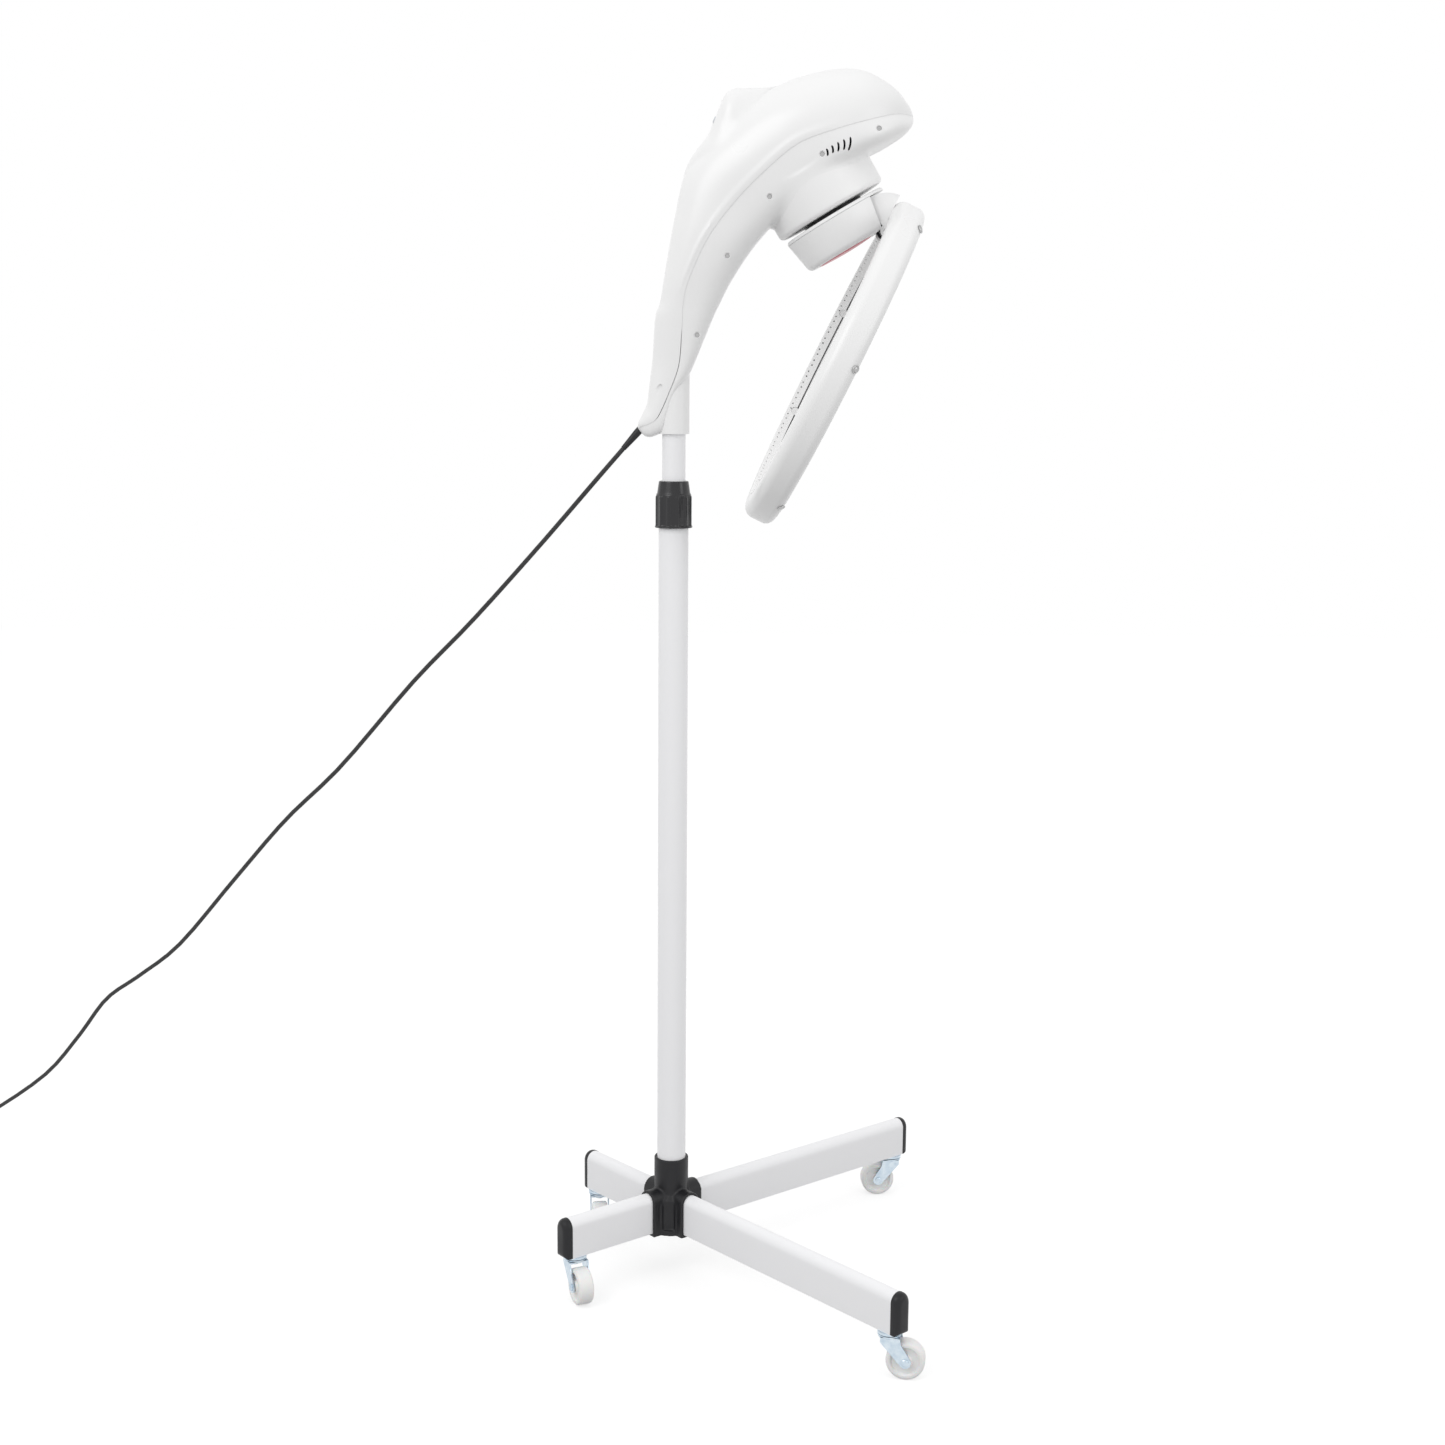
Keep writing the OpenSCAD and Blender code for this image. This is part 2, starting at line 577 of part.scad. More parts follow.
// involute outline of a spur gear with its first tooth on the x axis
function involute(rb, t) = rb * [cos(t) + t * PI / 180 * sin(t), sin(t) - t * PI / 180 * cos(t)];
function turn(p, a) = [p[0] * cos(a) - p[1] * sin(a), p[0] * sin(a) + p[1] * cos(a)];
function gear_outline(teeth, m, thin = 0.6) =
    let (rp = m * teeth / 2, rb = rp * cos(20), ra = rp + m, rf = rp - 1.25 * m, steps = 4,
        t_max = sqrt(pow(ra / rb, 2) - 1) * 180 / PI,
        half = 90 / teeth + (tan(20) - 20 * PI / 180) * 180 / PI - thin * 3 / rp)
    [for (k = [0:teeth - 1]) let (a = 360 * k / teeth) each [
        turn([rf, 0], a - half - 0.1 * 90 / teeth),
        for (i = [0:steps]) turn(involute(rb, t_max * i / steps), a - half),
        for (i = [steps:-1:0]) let (p = involute(rb, t_max * i / steps)) turn([p[0], -p[1]], a + half),
        turn([rf, 0], a + half + 0.1 * 90 / teeth)]];

module motor_pinion() color("#e8e2cf") at_drum() rotate(pinion_at) translate([centre_d, 0, gear_z])
    difference() {
        rotate(180 + 180 / pinion_teeth) linear_extrude(gear_face) polygon(gear_outline(pinion_teeth, gear_m));
        translate([0, 0, -1]) cylinder(r = 2.5 + fit, h = gear_face + 2);
    }

module control_board() color("#2f6b4a") at_drum() {
    translate([-26, -26, plate_z + 36]) cube([52, 52, 1.6]);
    for (p = [[22, 22], [22, -22], [-22, 22], [-2, -23]]) translate([p[0], p[1], plate_z + 2])
        cylinder(r = 2.4, h = 34.1);
    translate([-16, -20, plate_z + 37.6]) cube([18, 14, 9]);
    translate([6, -18, plate_z + 37.6]) cube([12, 26, 5]);
    translate([-18, 4, plate_z + 37.6]) cube([14, 14, 12]);
}

// ---- orbit: neck and carrier, which turn in the housing ----

module orbit_neck() color("#232326") at_drum() rotate_extrude($fn = 96)
    polygon([[12, carrier_top], [neck_r, carrier_top], [neck_r, 3.1], [neck_r + 8, 3.1], [neck_r + 8, 5.6],
        [22, 5.6], [22, gear_z + gear_face], [12, gear_z + gear_face]]);

module orbit_gear() color("#e8e2cf") at_drum() translate([0, 0, gear_z]) rotate(pinion_at) difference() {
    linear_extrude(gear_face) polygon(gear_outline(gear_teeth, gear_m));
    translate([0, 0, -1]) cylinder(r = 22, h = gear_face + 2);
}

module carrier_lid() color("#f3f3f2") at_drum() rotate_extrude($fn = 128)
    polygon([[12, carrier_top - lid_t], [carrier_r, carrier_top - lid_t],
        each arc([carrier_r - 2.2, carrier_top - 2.2], 2.2, 0, 90, 4), [12, carrier_top]]);

module carrier_cup() color("#f3f3f2") at_drum() difference() {
    rotate_extrude($fn = 128) {
        r = carrier_r;
        top = carrier_top - lid_t - 0.3;
        polygon([[0, carrier_bottom], each arc([r - 11.8, carrier_bottom + 6.5], 6.5, -90, -10),
            [r, top], [r - 2.2, top], [r - 7.6, carrier_bottom + 6.5],
            [r - 12, carrier_bottom + cup_floor], [0, carrier_bottom + cup_floor]]);
    }
    translate([lens_x, 0, carrier_bottom - 1]) cylinder(r = lens_r + 0.2, h = cup_floor + 2);
    // the hinge side is open, so that the hood can swing in
    slab(2 * drum_d) polygon([[window_x - 2.5, carrier_bottom - 1], [window_x + 2.5, carrier_top - 1],
        [drum_d, carrier_top - 1], [drum_d, carrier_bottom - 1]]);
    translate([pin_x - 7, -hood_half - 0.5, carrier_bottom - 1]) cube([30, 2 * hood_half + 1, 11]);
}

module carrier_lens() color("#c8323c") at_drum() translate([lens_x, 0, 0]) rotate_extrude($fn = 96)
    polygon([[0, carrier_bottom - 2], each [for (i = [0:6]) let (r = (lens_r - 2) * i / 6)
        [r + 0.001, carrier_bottom - 2 + 1.2 * pow(i / 6, 2)]], [lens_r, carrier_bottom + 0.4],
        [lens_r, carrier_bottom + cup_floor], [lens_r + 2, carrier_bottom + cup_floor],
        [lens_r + 2, carrier_bottom + cup_floor + 1], [0, carrier_bottom + cup_floor + 1]]);

module lamp_board() color("#d6d2c4") at_drum() translate([lens_x, 0, 0]) {
    translate([0, 0, carrier_bottom + cup_floor + 1]) difference() {
        cylinder(r1 = lens_r + 3, r2 = 27, h = 12);
        translate([0, 0, -0.1]) cylinder(r1 = lens_r, r2 = 24, h = 10);
    }
    for (a = [0:60:359]) rotate(a) translate([13, 0, carrier_bottom + 11]) cylinder(r = 2.5, h = 3);
    for (a = [60, 180, 300]) rotate(a) translate([18, 0, carrier_bottom + 14])
        cylinder(r = 3, h = carrier_h - 14 - lid_t);
}

module hinge_bracket() color("#2b2b2f") at_drum() for (s = [-1, 1]) translate([0, s * 17, 0])
    difference() {
        slab(4) union() {
            hull() {
                translate([pin_x, pin_z]) circle(r = 5.6);
                translate([pin_x - 6, carrier_bottom + cup_floor]) square([3, 4]);
            }
            translate([pin_x - 11, carrier_bottom + cup_floor]) square([7, 4]);
        }
        translate([pin_x, 0, pin_z]) rotate([90, 0, 0]) cylinder(r = pin_r, h = 10, center = true);
    }

module hinge_pin() color("#9aa0a6") at_drum() translate([pin_x, 0, pin_z]) rotate([90, 0, 0])
    cylinder(r = pin_r, h = 2 * hood_half, center = true);

// ---- halo: swings on the hinge pin ----

hood_wall = 2.2;
hood_reach = halo_angle + 10;                 // the hood runs on under the lid

function sector(r, from, to, n = 10) = [[0, 0], each arc([0, 0], r, from, to, n)];

module hinge_hood() color("#f3f3f2") at_halo() difference() {
    union() {
        at_pin_in_halo() difference() {
            union() {
                slab(2 * hood_half) polygon(sector(hood_r, -30, hood_reach, 20));
                rotate([90, 0, 0]) cylinder(r = 6.5, h = 2 * hood_half, center = true);
            }
            slab(2 * hood_half - 2 * hood_wall) polygon(concat(arc([0, 0], 8.5, hood_reach + 2, 8, 8),
                arc([0, 0], hood_r - hood_wall, 8, hood_reach + 2, 16)));
            slab(2 * hood_half - 2 * hood_wall) circle(r = 7);
        }
        translate([pin_u + 6, -18, pin_v - 9]) cube([20, 36, 12]);
    }
    at_pin_in_halo() rotate([90, 0, 0]) cylinder(r = pin_r + fit, h = 80, center = true);
    translate([0, 0, -halo_half - 1]) difference() {
        cylinder(r = halo_r + 60, h = halo_w + 1, $fn = 256);
        translate([0, 0, -1]) cylinder(r = halo_in, h = halo_w + 3, $fn = 256);
    }
    at_pin_in_halo() slab(2 * hood_half - 2 * hood_wall) square([17, 17], center = true);
}

module halo_shell() color("#f3f3f2") at_halo() difference() {
    r0 = halo_in + band_wall + 0.2;
    r1 = halo_r;
    h = halo_half;
    c = halo_edge;
    b = halo_back_edge;
    lip = halo_r - halo_edge;
    union() {
        rotate_extrude($fn = 256) polygon([
            [r0, h - 2.4], [r0, h - 1], [r0 + 1, h], each arc([r1 - b, h - b], b, 90, 0, 8),
            each arc([r1 - c, -h + c], c, 0, -90), [lip, -h], [lip - 0.6, -h + 0.6], [lip, -h + 2],
            each arc([r1 - c, -h + c], c - shell_wall, -90, 0),
            each arc([r1 - b, h - b], b - shell_wall, 0, 90, 8),
            [r0 + 1, h - shell_wall - 0.4]]);
        difference() {
            for (a = [0:45:359]) rotate(a + 22.5) translate([0, 0, 3]) rotate([0, 90, 0])
                translate([0, 0, halo_in]) cylinder(r = 3.6, h = halo_t - 1);
            translate([0, 0, -halo_w]) cylinder(r = halo_in + band_wall, h = 2 * halo_w, $fn = 256);
        }
    }
    for (a = [0:45:359]) rotate(a + 22.5) translate([0, 0, 3]) rotate([0, 90, 0])
        translate([0, 0, halo_in]) cylinder(r = 1.5, h = 14);
    at_clips() translate([0, 0, -4]) cylinder(r = 1.8, h = 5);
}

// places of the guard's clips on the rounded front edge, z outwards
module at_clips() for (a = [0:90:359]) rotate(a)
    translate([halo_r - halo_edge, 0, -halo_half + halo_edge]) rotate([0, 135, 0])
        translate([0, 0, halo_edge]) children();

module halo_band() color("#f3f3f2") at_halo() difference() {
    h = halo_half;
    r0 = halo_in;
    rotate_extrude($fn = 256) polygon([
        [r0 + 0.8, h], [r0, h - 0.8], each arc([r0 + 4, -h + 4], 4, 180, 270, 5), [r0 + 5, -h],
        [r0 + 5, -h + 1.8], each arc([r0 + 4.5, -h + 4.3], 2.5, 270, 180, 4), [r0 + 2, h]]);
    for (row = [0, 1], k = [0:vents - 1]) rotate((k + row / 2) * 360 / vents)
        translate([r0 - 1, 0, h - 3.6 - 3.4 * row]) rotate([0, 90, 0]) cylinder(d = vent_d, h = 5, $fn = 16);
    for (a = [0:45:359]) rotate(a + 22.5) translate([r0 - 1, 0, 3]) rotate([0, 90, 0])
        cylinder(r = 4.9, h = 5);
}

module halo_screws() color("#e9e9e8") at_halo() for (a = [0:45:359]) rotate(a + 22.5)
    translate([halo_in - 0.3, 0, 3]) rotate([0, 90, 0]) {
        cylinder(r = 4.8, h = band_wall + 0.2);
        cylinder(r = 1.5, h = 14);
    }

channel_in = halo_in + 4.6;
channel_out = halo_r - halo_edge + 0.3;
heat_r = (channel_in + channel_out) / 2;
heat_z = -9.2;

module heat_ring() rotate_extrude($fn = 128) translate([heat_r, heat_z]) circle(d = tube_d, $fn = 24);

module halo_reflector() color("#c9ccd0") at_halo() {
    a = channel_in;
    b = channel_out;
    top = -3.4;
    inner_foot = -halo_half + 1.8;
    outer_foot = -halo_half + 2.2;
    rotate_extrude($fn = 256) polygon([[a, inner_foot], [a, top - 4],
        each arc([a + 4, top - 4], 4, 180, 90, 4), each arc([b - 4, top - 4], 4, 90, 0, 4), [b, outer_foot],
        [b - 0.8, outer_foot], each arc([b - 4, top - 4], 3.2, 0, 90, 4),
        each arc([a + 4, top - 4], 3.2, 90, 180, 4), [a + 0.8, inner_foot]]);
    // saddles that hold the tube off the reflector
    difference() {
        for (k = [0:7]) rotate(45 * k + 22.5) translate([heat_r, 0, heat_z + 1])
            cylinder(r = 2, h = top - heat_z - 1.4);
        heat_ring();
    }
}

module quartz_tube() color("#f0d9c8") at_halo()
    rotate(6) rotate_extrude(angle = 348, $fn = 128) translate([heat_r, heat_z]) circle(d = tube_d, $fn = 24);

module guard_grille() color("#c9ccd0") at_halo() translate([0, 0, -halo_half + 0.4]) {
    for (r = [heat_r - 3.2, heat_r + 3.2]) rotate_extrude($fn = 128) translate([r - 0.6, 0]) square(1.2);
    for (k = [0:23]) rotate(360 * (k + 0.5) / 24) translate([halo_in + 5, -0.6, 0])
        cube([halo_t - halo_edge - 5.6, 1.2, 1.2]);
}

// eyelet clips and pan-head screws that hold the guard
module guard_clips() color("#c3c7cc") at_halo() at_clips() {
    difference() {
        union() {
            cylinder(r = 4, h = 0.9);
            translate([0, -1.5, 0]) cube([6.5, 3, 0.9]);
        }
        translate([0, 0, -1]) cylinder(r = 1.8, h = 3);
    }
    translate([0, 0, -3.5]) cylinder(r = 1.8, h = 4.5);
    translate([0, 0, 0.9]) cylinder(r1 = 3.2, r2 = 2.2, h = 1.6);
}

// ---- cord ----

cord_r = cord_d / 2;
// points along the free cord from the tail to the floor: x, y, height
cord_route = [[-54, 0, head_z - 16], [-82, 8, head_z - 48], [-150, 40, head_z - 126], [-228, 78, head_z - 212],
    [-300, 112, head_z - 286], [-394, 159, head_z - 394], [-468, 194, head_z - 466], [-540, 230, 393],
    [-622, 272, 298], [-682, 297, 249], [-731, 318, 212], [-776, 341, 155], [-831, 368, 93], [-914, 400, 31],
    [-958, 417, 7], [-984, 427.2, 2.5], [-1000, 433, 2.5]];
relief_r = cord_r + 1.6;
relief_out = cord_route[0];
relief_dir = [-0.66, 0, -0.75];
relief_in = relief_out - 32 * relief_dir;

// frame along a path: side and up vectors across the tangent
function tangent(p, i) = let (a = p[max(i - 1, 0)], b = p[min(i + 1, len(p) - 1)]) (b - a) / norm(b - a);
function sweep_ring(c, t, r, sides) =
    let (s = cross([0, 0, 1], t), u = norm(s) > 0.05 ? s / norm(s) : [1, 0, 0], v = cross(t, u))
    [for (k = [0:sides - 1]) let (a = 360 * (k + 0.5) / sides) c + r * (cos(a) * u + sin(a) * v)];

// closed tube through a list of centre points
module tube_along(path, r, sides) {
    n = len(path);
    points = [for (i = [0:n - 1]) each sweep_ring(path[i], tangent(path, i), r, sides)];
    faces = [
        [for (k = [0:sides - 1]) k],
        [for (k = [sides - 1:-1:0]) (n - 1) * sides + k],
        for (i = [0:n - 2], k = [0:sides - 1]) let (a = i * sides + k, b = i * sides + (k + 1) % sides)
            each [[a, a + sides, b + sides], [a, b + sides, b]]];
    polyhedron(points, faces, convexity = 6);
}

drop_steps = 60;
drop_path = [relief_out, relief_out + relief_dir, for (k = [1:drop_steps])
    let (p = spline(cord_route, k * (len(cord_route) - 1) / drop_steps)) [p[0], p[1], max(p[2], cord_r)]];

// coil: spirals in on the floor, climbs, and spirals out again on top
coil_pitch = cord_d + 1.1;
coil_r = 31;
coil_turns = 4;
coil_from = cord_route[len(cord_route) - 1];
coil_dir = atan2(5.8, -16);                     // heading of the cord where the coil starts
coil_heading = [cos(coil_dir), sin(coil_dir), 0];
coil_c = [coil_from[0], coil_from[1], 0] + coil_heading + coil_r * [sin(coil_dir), -cos(coil_dir), 0];
coil_path = [coil_from, for (k = [0:24 * coil_turns])
    let (u = k / 24, half = coil_turns / 2, s = u < half ? u : coil_turns - u,
        climb = min(max((u - half + 0.25) / 0.5, 0), 1),
        r = coil_r - coil_pitch * min(s, half - 0.25),
        a = coil_dir + 90 - 360 * u)
    [coil_c[0] + r * cos(a), coil_c[1] + r * sin(a), cord_r + climb * coil_pitch],
    coil_from + 21 * coil_heading + [0, 0, coil_pitch]];
echo(coil_gap = min([for (i = [0:len(coil_path) - 1], j = [i + 9:1:len(coil_path) - 1])
    norm(coil_path[i] - coil_path[j])]) - cord_d);

// turns the z axis to a direction
module aim(v) rotate([0, acos(v[2] / norm(v)), atan2(v[1], v[0])]) children();

module strain_relief() color("#232326") translate(relief_in) aim(relief_out - relief_in) {
    cylinder(r = relief_r, h = 10);
    translate([0, 0, 10]) cylinder(r1 = relief_r, r2 = cord_r + 0.4, h = norm(relief_out - relief_in) - 10);
}

module cord_drop() color("#151517") tube_along(drop_path, cord_r, 8);

module cord_coil() color("#151517") tube_along(coil_path, cord_r, 6);

// two-pin plug lying beside the coil
module mains_plug() color("#151517") {
    last = coil_path[len(coil_path) - 1];
    translate(last) rotate([0, 90, coil_dir]) {
        cylinder(r1 = cord_r + 0.8, r2 = 5.5, h = 18);
        translate([0, 0, 18]) linear_extrude(22) square([2 * (cord_r + coil_pitch), 24], center = true);
        for (s = [-1, 1]) translate([0, s * 9.5, 40]) cylinder(r = 2, h = 19);
    }
}

base_hub();
for (i = [0:3]) {
    leg(i);
    caster_fork(i);
    caster_wheel(i);
}
leg_caps();
leg_bolts();
caster_studs();
lower_pole();
pole_joint();
upper_pole();
clamp_collet();
clamp_nut();
mast();
mast_plugs();
pole_socket();
back_cover();
front_cover();
cover_screws();
cover_posts();
control_pod();
display_window();
button(0);  // button_power
button(1);  // button_timer
button(2);  // button_heat
button(3);  // button_orbit
drive_housing();
drive_plate();
gear_motor();
control_board();
motor_pinion();
orbit_neck();
orbit_gear();
carrier_lid();
carrier_cup();
carrier_lens();
lamp_board();
hinge_bracket();
hinge_pin();
hinge_hood();
halo_shell();
halo_band();
halo_screws();
halo_reflector();
quartz_tube();
guard_grille();
guard_clips();
strain_relief();
cord_drop();
cord_coil();
mains_plug();
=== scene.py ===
# %% [markdown]
# # An orbiting infrared dryer on a four-caster stand
#
# A groomer rolls this dryer up to the table. A cross base carries a telescopic pole, an arched white head leans
# out over the animal, and a heated halo orbits under a tilted drum. All of it could be drawn here, but the packed
# solids already fit each other and move, so they are the fixed frame. The lesson gives every piece the surface,
# the finish and the light of the real one.

import math

import bpy
import numpy as np
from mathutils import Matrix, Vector
from mathutils.bvhtree import BVHTree


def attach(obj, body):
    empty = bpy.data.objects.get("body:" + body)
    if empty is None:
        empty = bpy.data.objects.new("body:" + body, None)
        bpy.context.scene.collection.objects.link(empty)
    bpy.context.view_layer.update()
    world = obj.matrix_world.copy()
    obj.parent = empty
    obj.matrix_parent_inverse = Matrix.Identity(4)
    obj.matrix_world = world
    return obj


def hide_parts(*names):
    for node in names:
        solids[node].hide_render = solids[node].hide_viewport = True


MM = 0.001
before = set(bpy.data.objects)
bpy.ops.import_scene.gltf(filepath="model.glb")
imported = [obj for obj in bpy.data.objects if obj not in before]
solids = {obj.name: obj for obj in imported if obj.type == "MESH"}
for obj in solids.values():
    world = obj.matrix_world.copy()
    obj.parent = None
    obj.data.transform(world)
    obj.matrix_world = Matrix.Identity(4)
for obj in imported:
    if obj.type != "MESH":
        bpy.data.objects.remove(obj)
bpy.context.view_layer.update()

# %% [markdown]
# ## The camera
#
# The dryer is seen from the side, a little above the middle of the pole. A shifted lens could frame it the same
# way, but a camera that only looks down and rolls a little is easier to move round later. A long lens far away
# keeps the pole straight and the casters in scale.

# %% Camera
LENS_MM, SENSOR_MM = 50.82, 36.0
CAMERA_PLACE = (0.0515, -2.2, 0.993)
TILT_DOWN, ROLL = math.radians(9.4), math.radians(-0.43)

camera_data = bpy.data.cameras.new("side_camera")
camera_data.lens, camera_data.sensor_width = LENS_MM, SENSOR_MM
camera = bpy.data.objects.new("side_camera", camera_data)
camera.location = CAMERA_PLACE
camera.rotation_euler = (math.pi / 2 - TILT_DOWN, ROLL, 0)
bpy.context.scene.collection.objects.link(camera)
bpy.context.scene.camera = camera
print("camera at", CAMERA_PLACE)

# %% [markdown]
# ## The mains cord
#
# The cord leaves the tail of the head, sags to the floor in lazy bends and ends in a loose coil with its plug.
# It could be a physics rope, but its bends are known, so one smooth line through chosen points is simpler and
# always gives the same length. The line is a Catmull-Rom curve, which passes through all of its points.

# %% The cord's path
HEAD_Z = 0.941
CORD_R = 0.0025
CORD_EXIT = np.array([-0.66, 0, -0.75])
COIL_R, COIL_TURNS, COIL_PITCH = 0.031, 4, 2 * CORD_R + 0.0011
STEPS_A_TURN = 24
TO_THE_PLUG = 0.021
CORD_ROUTE = np.array([
    [-0.054, 0, HEAD_Z - 0.016], [-0.082, 0.008, HEAD_Z - 0.048], [-0.150, 0.040, HEAD_Z - 0.126],
    [-0.228, 0.078, HEAD_Z - 0.212], [-0.300, 0.112, HEAD_Z - 0.286], [-0.394, 0.159, HEAD_Z - 0.394],
    [-0.468, 0.194, HEAD_Z - 0.466], [-0.540, 0.230, 0.393], [-0.622, 0.272, 0.298], [-0.682, 0.297, 0.249],
    [-0.731, 0.318, 0.212], [-0.776, 0.341, 0.155], [-0.831, 0.368, 0.093], [-0.914, 0.400, 0.031],
    [-0.958, 0.417, 0.007], [-0.984, 0.4272, 0.0025], [-1.000, 0.433, 0.0025]])


def through(points, t):
    """Catmull-Rom: between two points the curve is the cubic whose slope at each is half the step between its
    neighbours. t counts points; arrays of any width work."""
    last = len(points) - 1
    t = np.clip(np.asarray(t, float), 0, last - 1e-6)
    i = t.astype(int)
    f = (t - i).reshape(-1, *[1] * (points.ndim - 1))
    a, b = points[np.maximum(i - 1, 0)], points[i]
    c, d = points[i + 1], points[np.minimum(i + 2, last)]
    return 0.5 * (2 * b + (c - a) * f + (2 * a - 5 * b + 4 * c - d) * f**2 + (3 * b - a - 3 * c + d) * f**3)


def coil_points():
    """Spirals in on the floor, climbs one pitch at the middle, and spirals out on top: the radius falls by a pitch
    a turn and then grows again, while the angle runs backwards at an even pace."""
    start, step = CORD_ROUTE[-1], CORD_ROUTE[-1] - CORD_ROUTE[-2]
    heading = math.atan2(step[1], step[0])
    ahead = np.array([math.cos(heading), math.sin(heading), 0])
    centre = start * [1, 1, 0] + MM * ahead + COIL_R * np.array([ahead[1], -ahead[0], 0])
    turn = np.arange(STEPS_A_TURN * COIL_TURNS + 1) / STEPS_A_TURN
    half = COIL_TURNS / 2
    inward = np.minimum(np.where(turn < half, turn, COIL_TURNS - turn), half - 0.25)
    climb = np.clip((turn - half + 0.25) / 0.5, 0, 1)
    r = COIL_R - COIL_PITCH * inward
    a = heading + math.pi / 2 - 2 * math.pi * turn
    turns = np.stack([centre[0] + r * np.cos(a), centre[1] + r * np.sin(a), CORD_R + climb * COIL_PITCH], 1)
    return np.vstack([turns, start + TO_THE_PLUG * ahead + [0, 0, COIL_PITCH]])


hanging = through(CORD_ROUTE, np.linspace(0, len(CORD_ROUTE) - 1, 61))
hanging[:, 2] = np.maximum(hanging[:, 2], CORD_R)
hanging = np.insert(hanging, 1, hanging[0] + MM * CORD_EXIT, 0)
cord_path = np.vstack([hanging, coil_points()])

# %% [markdown]
# ## Shapes as grids
#
# Every new surface here is a grid of points: a profile turned about an axis, or an arch carried along a line. Such
# shapes could be modelled by hand, but a formula keeps their measures exact and numpy works out a whole grid at
# once. One helper joins neighbouring points into four-sided faces, and one turns any closed shape outwards.

# %% Grid helpers
def mesh_piece(name, points, faces, material, smooth=True):
    """A mesh object at the origin from points and faces. Its signed volume is the sum of each triangle's first
    corner times the cross product of the others; where that is negative, the faces are turned outwards."""
    points = np.asarray(points, float).reshape(-1, 3)
    mesh = bpy.data.meshes.new(name)
    mesh.from_pydata(points.tolist(), [], [list(map(int, face)) for face in faces])
    mesh.polygons.foreach_set("use_smooth", [smooth] * len(mesh.polygons))
    mesh.materials.append(material)
    mesh.update()
    mesh.calc_loop_triangles()
    triangles = np.empty(3 * len(mesh.loop_triangles), np.int32)
    mesh.loop_triangles.foreach_get("vertices", triangles)
    a, b, c = points[triangles.reshape(-1, 3)].transpose(1, 0, 2)
    if np.sum(a * np.cross(b, c)) < 0:
        mesh.flip_normals()
    piece = bpy.data.objects.new(name, mesh)
    bpy.context.scene.collection.objects.link(piece)
    return piece


def grid_faces(n, m, loop_n=False, loop_m=False):
    """Four-sided faces between neighbouring rows and columns of an n by m grid, which may close on itself."""
    i = np.arange(n if loop_n else n - 1)[:, None]
    j = np.arange(m if loop_m else m - 1)[None, :]
    i2, j2 = (i + 1) % n, (j + 1) % m
    return np.stack(np.broadcast_arrays(i * m + j, i * m + j2, i2 * m + j2, i2 * m + j), -1).reshape(-1, 4)


def arc(cx, cy, r, start, end, n=8):
    """Points on a circle's arc in degrees, both ends included: centre plus radius times cosine and sine."""
    a = np.radians(np.linspace(start, end, n + 1))
    return np.stack([cx + r * np.cos(a), cy + r * np.sin(a)], 1)


def moved(local, to_world):
    """Points of a frame in the world: turned by the frame's axes, then moved to its origin."""
    return np.asarray(local) @ to_world[:3, :3].T + to_world[:3, 3]


def lathe(profile, to_world, steps=48):
    """Points and faces of a profile of radius and height, closed on itself, turned about a frame's z axis: the
    radius times cosine and sine, and the height as it is."""
    profile = np.asarray(profile, float)
    a = np.linspace(0, 2 * math.pi, steps, endpoint=False)[:, None]
    ring = np.stack([profile[:, 0] * np.cos(a), profile[:, 0] * np.sin(a), profile[:, 1] + 0 * a], -1)
    return moved(ring.reshape(-1, 3), to_world), grid_faces(steps, len(profile), True, True)


def merged(shapes):
    """Several closed shapes as one list of points and one of faces."""
    points, faces = [], []
    for more_points, more_faces in shapes:
        faces += [[int(i) + len(points) for i in face] for face in more_faces]
        points += list(more_points)
    return points, faces


def sharp_creases(piece, degrees=32, weld=False):
    """Splits the shading where faces meet at more than the angle, so that bends stay smooth and edges crisp."""
    if weld:
        piece.modifiers.new("join", "WELD").merge_threshold = 1e-5
    split = piece.modifiers.new("crease", "EDGE_SPLIT")
    split.split_angle = math.radians(degrees)
    split.use_edge_sharp = False


# %% [markdown]
# ## Frames of the drum and the halo
#
# The drum is tilted and the halo hangs from a hinge at its edge. Their profiles could be typed in world
# coordinates, but in each one's own frame they are only distances from an axis and heights along it. The numbers
# repeat those of the solids.

# %% Drum and halo frames
DRUM_TILT, HALO_ANGLE = 30.8, 56.8
DRUM_R, HOUSING_H = 0.06125, 0.046
HALO_IN, HALO_R, HALO_HALF = 0.158, 0.183, 0.017
DRUM_PLACE = (0.165, 0, HEAD_Z + 0.232)
PIN_IN_DRUM = (0.0365, 0, -0.0465)
HALO_FROM_PIN = (-0.1455, 0, -0.0133)


def rigid(angle_y, place):
    """A turn about the y axis by the angle in degrees, then a move."""
    c, s = math.cos(math.radians(angle_y)), math.sin(math.radians(angle_y))
    return np.array([[c, 0, s, place[0]], [0, 1, 0, place[1]], [-s, 0, c, place[2]], [0, 0, 0, 1.0]])


drum_frame = rigid(-DRUM_TILT, DRUM_PLACE)
halo_frame = rigid(HALO_ANGLE - 90 - DRUM_TILT, moved(PIN_IN_DRUM, drum_frame)) @ rigid(0, HALO_FROM_PIN)
print("halo centre", np.round(halo_frame[:3, 3], 4))

# %% [markdown]
# ## Finishes
#
# Nearly everything on this dryer is white, so the finishes have to tell the parts apart: glossy moulded plastic on
# the head, powder coat on the tubes, milky plastic on the wheels. Painted pictures could do it too, but noise on
# the piece's own coordinates needs no unwrapping and has no seams. Each finish starts from the same shader and
# adds a slight unevenness in the gloss and a fine relief.

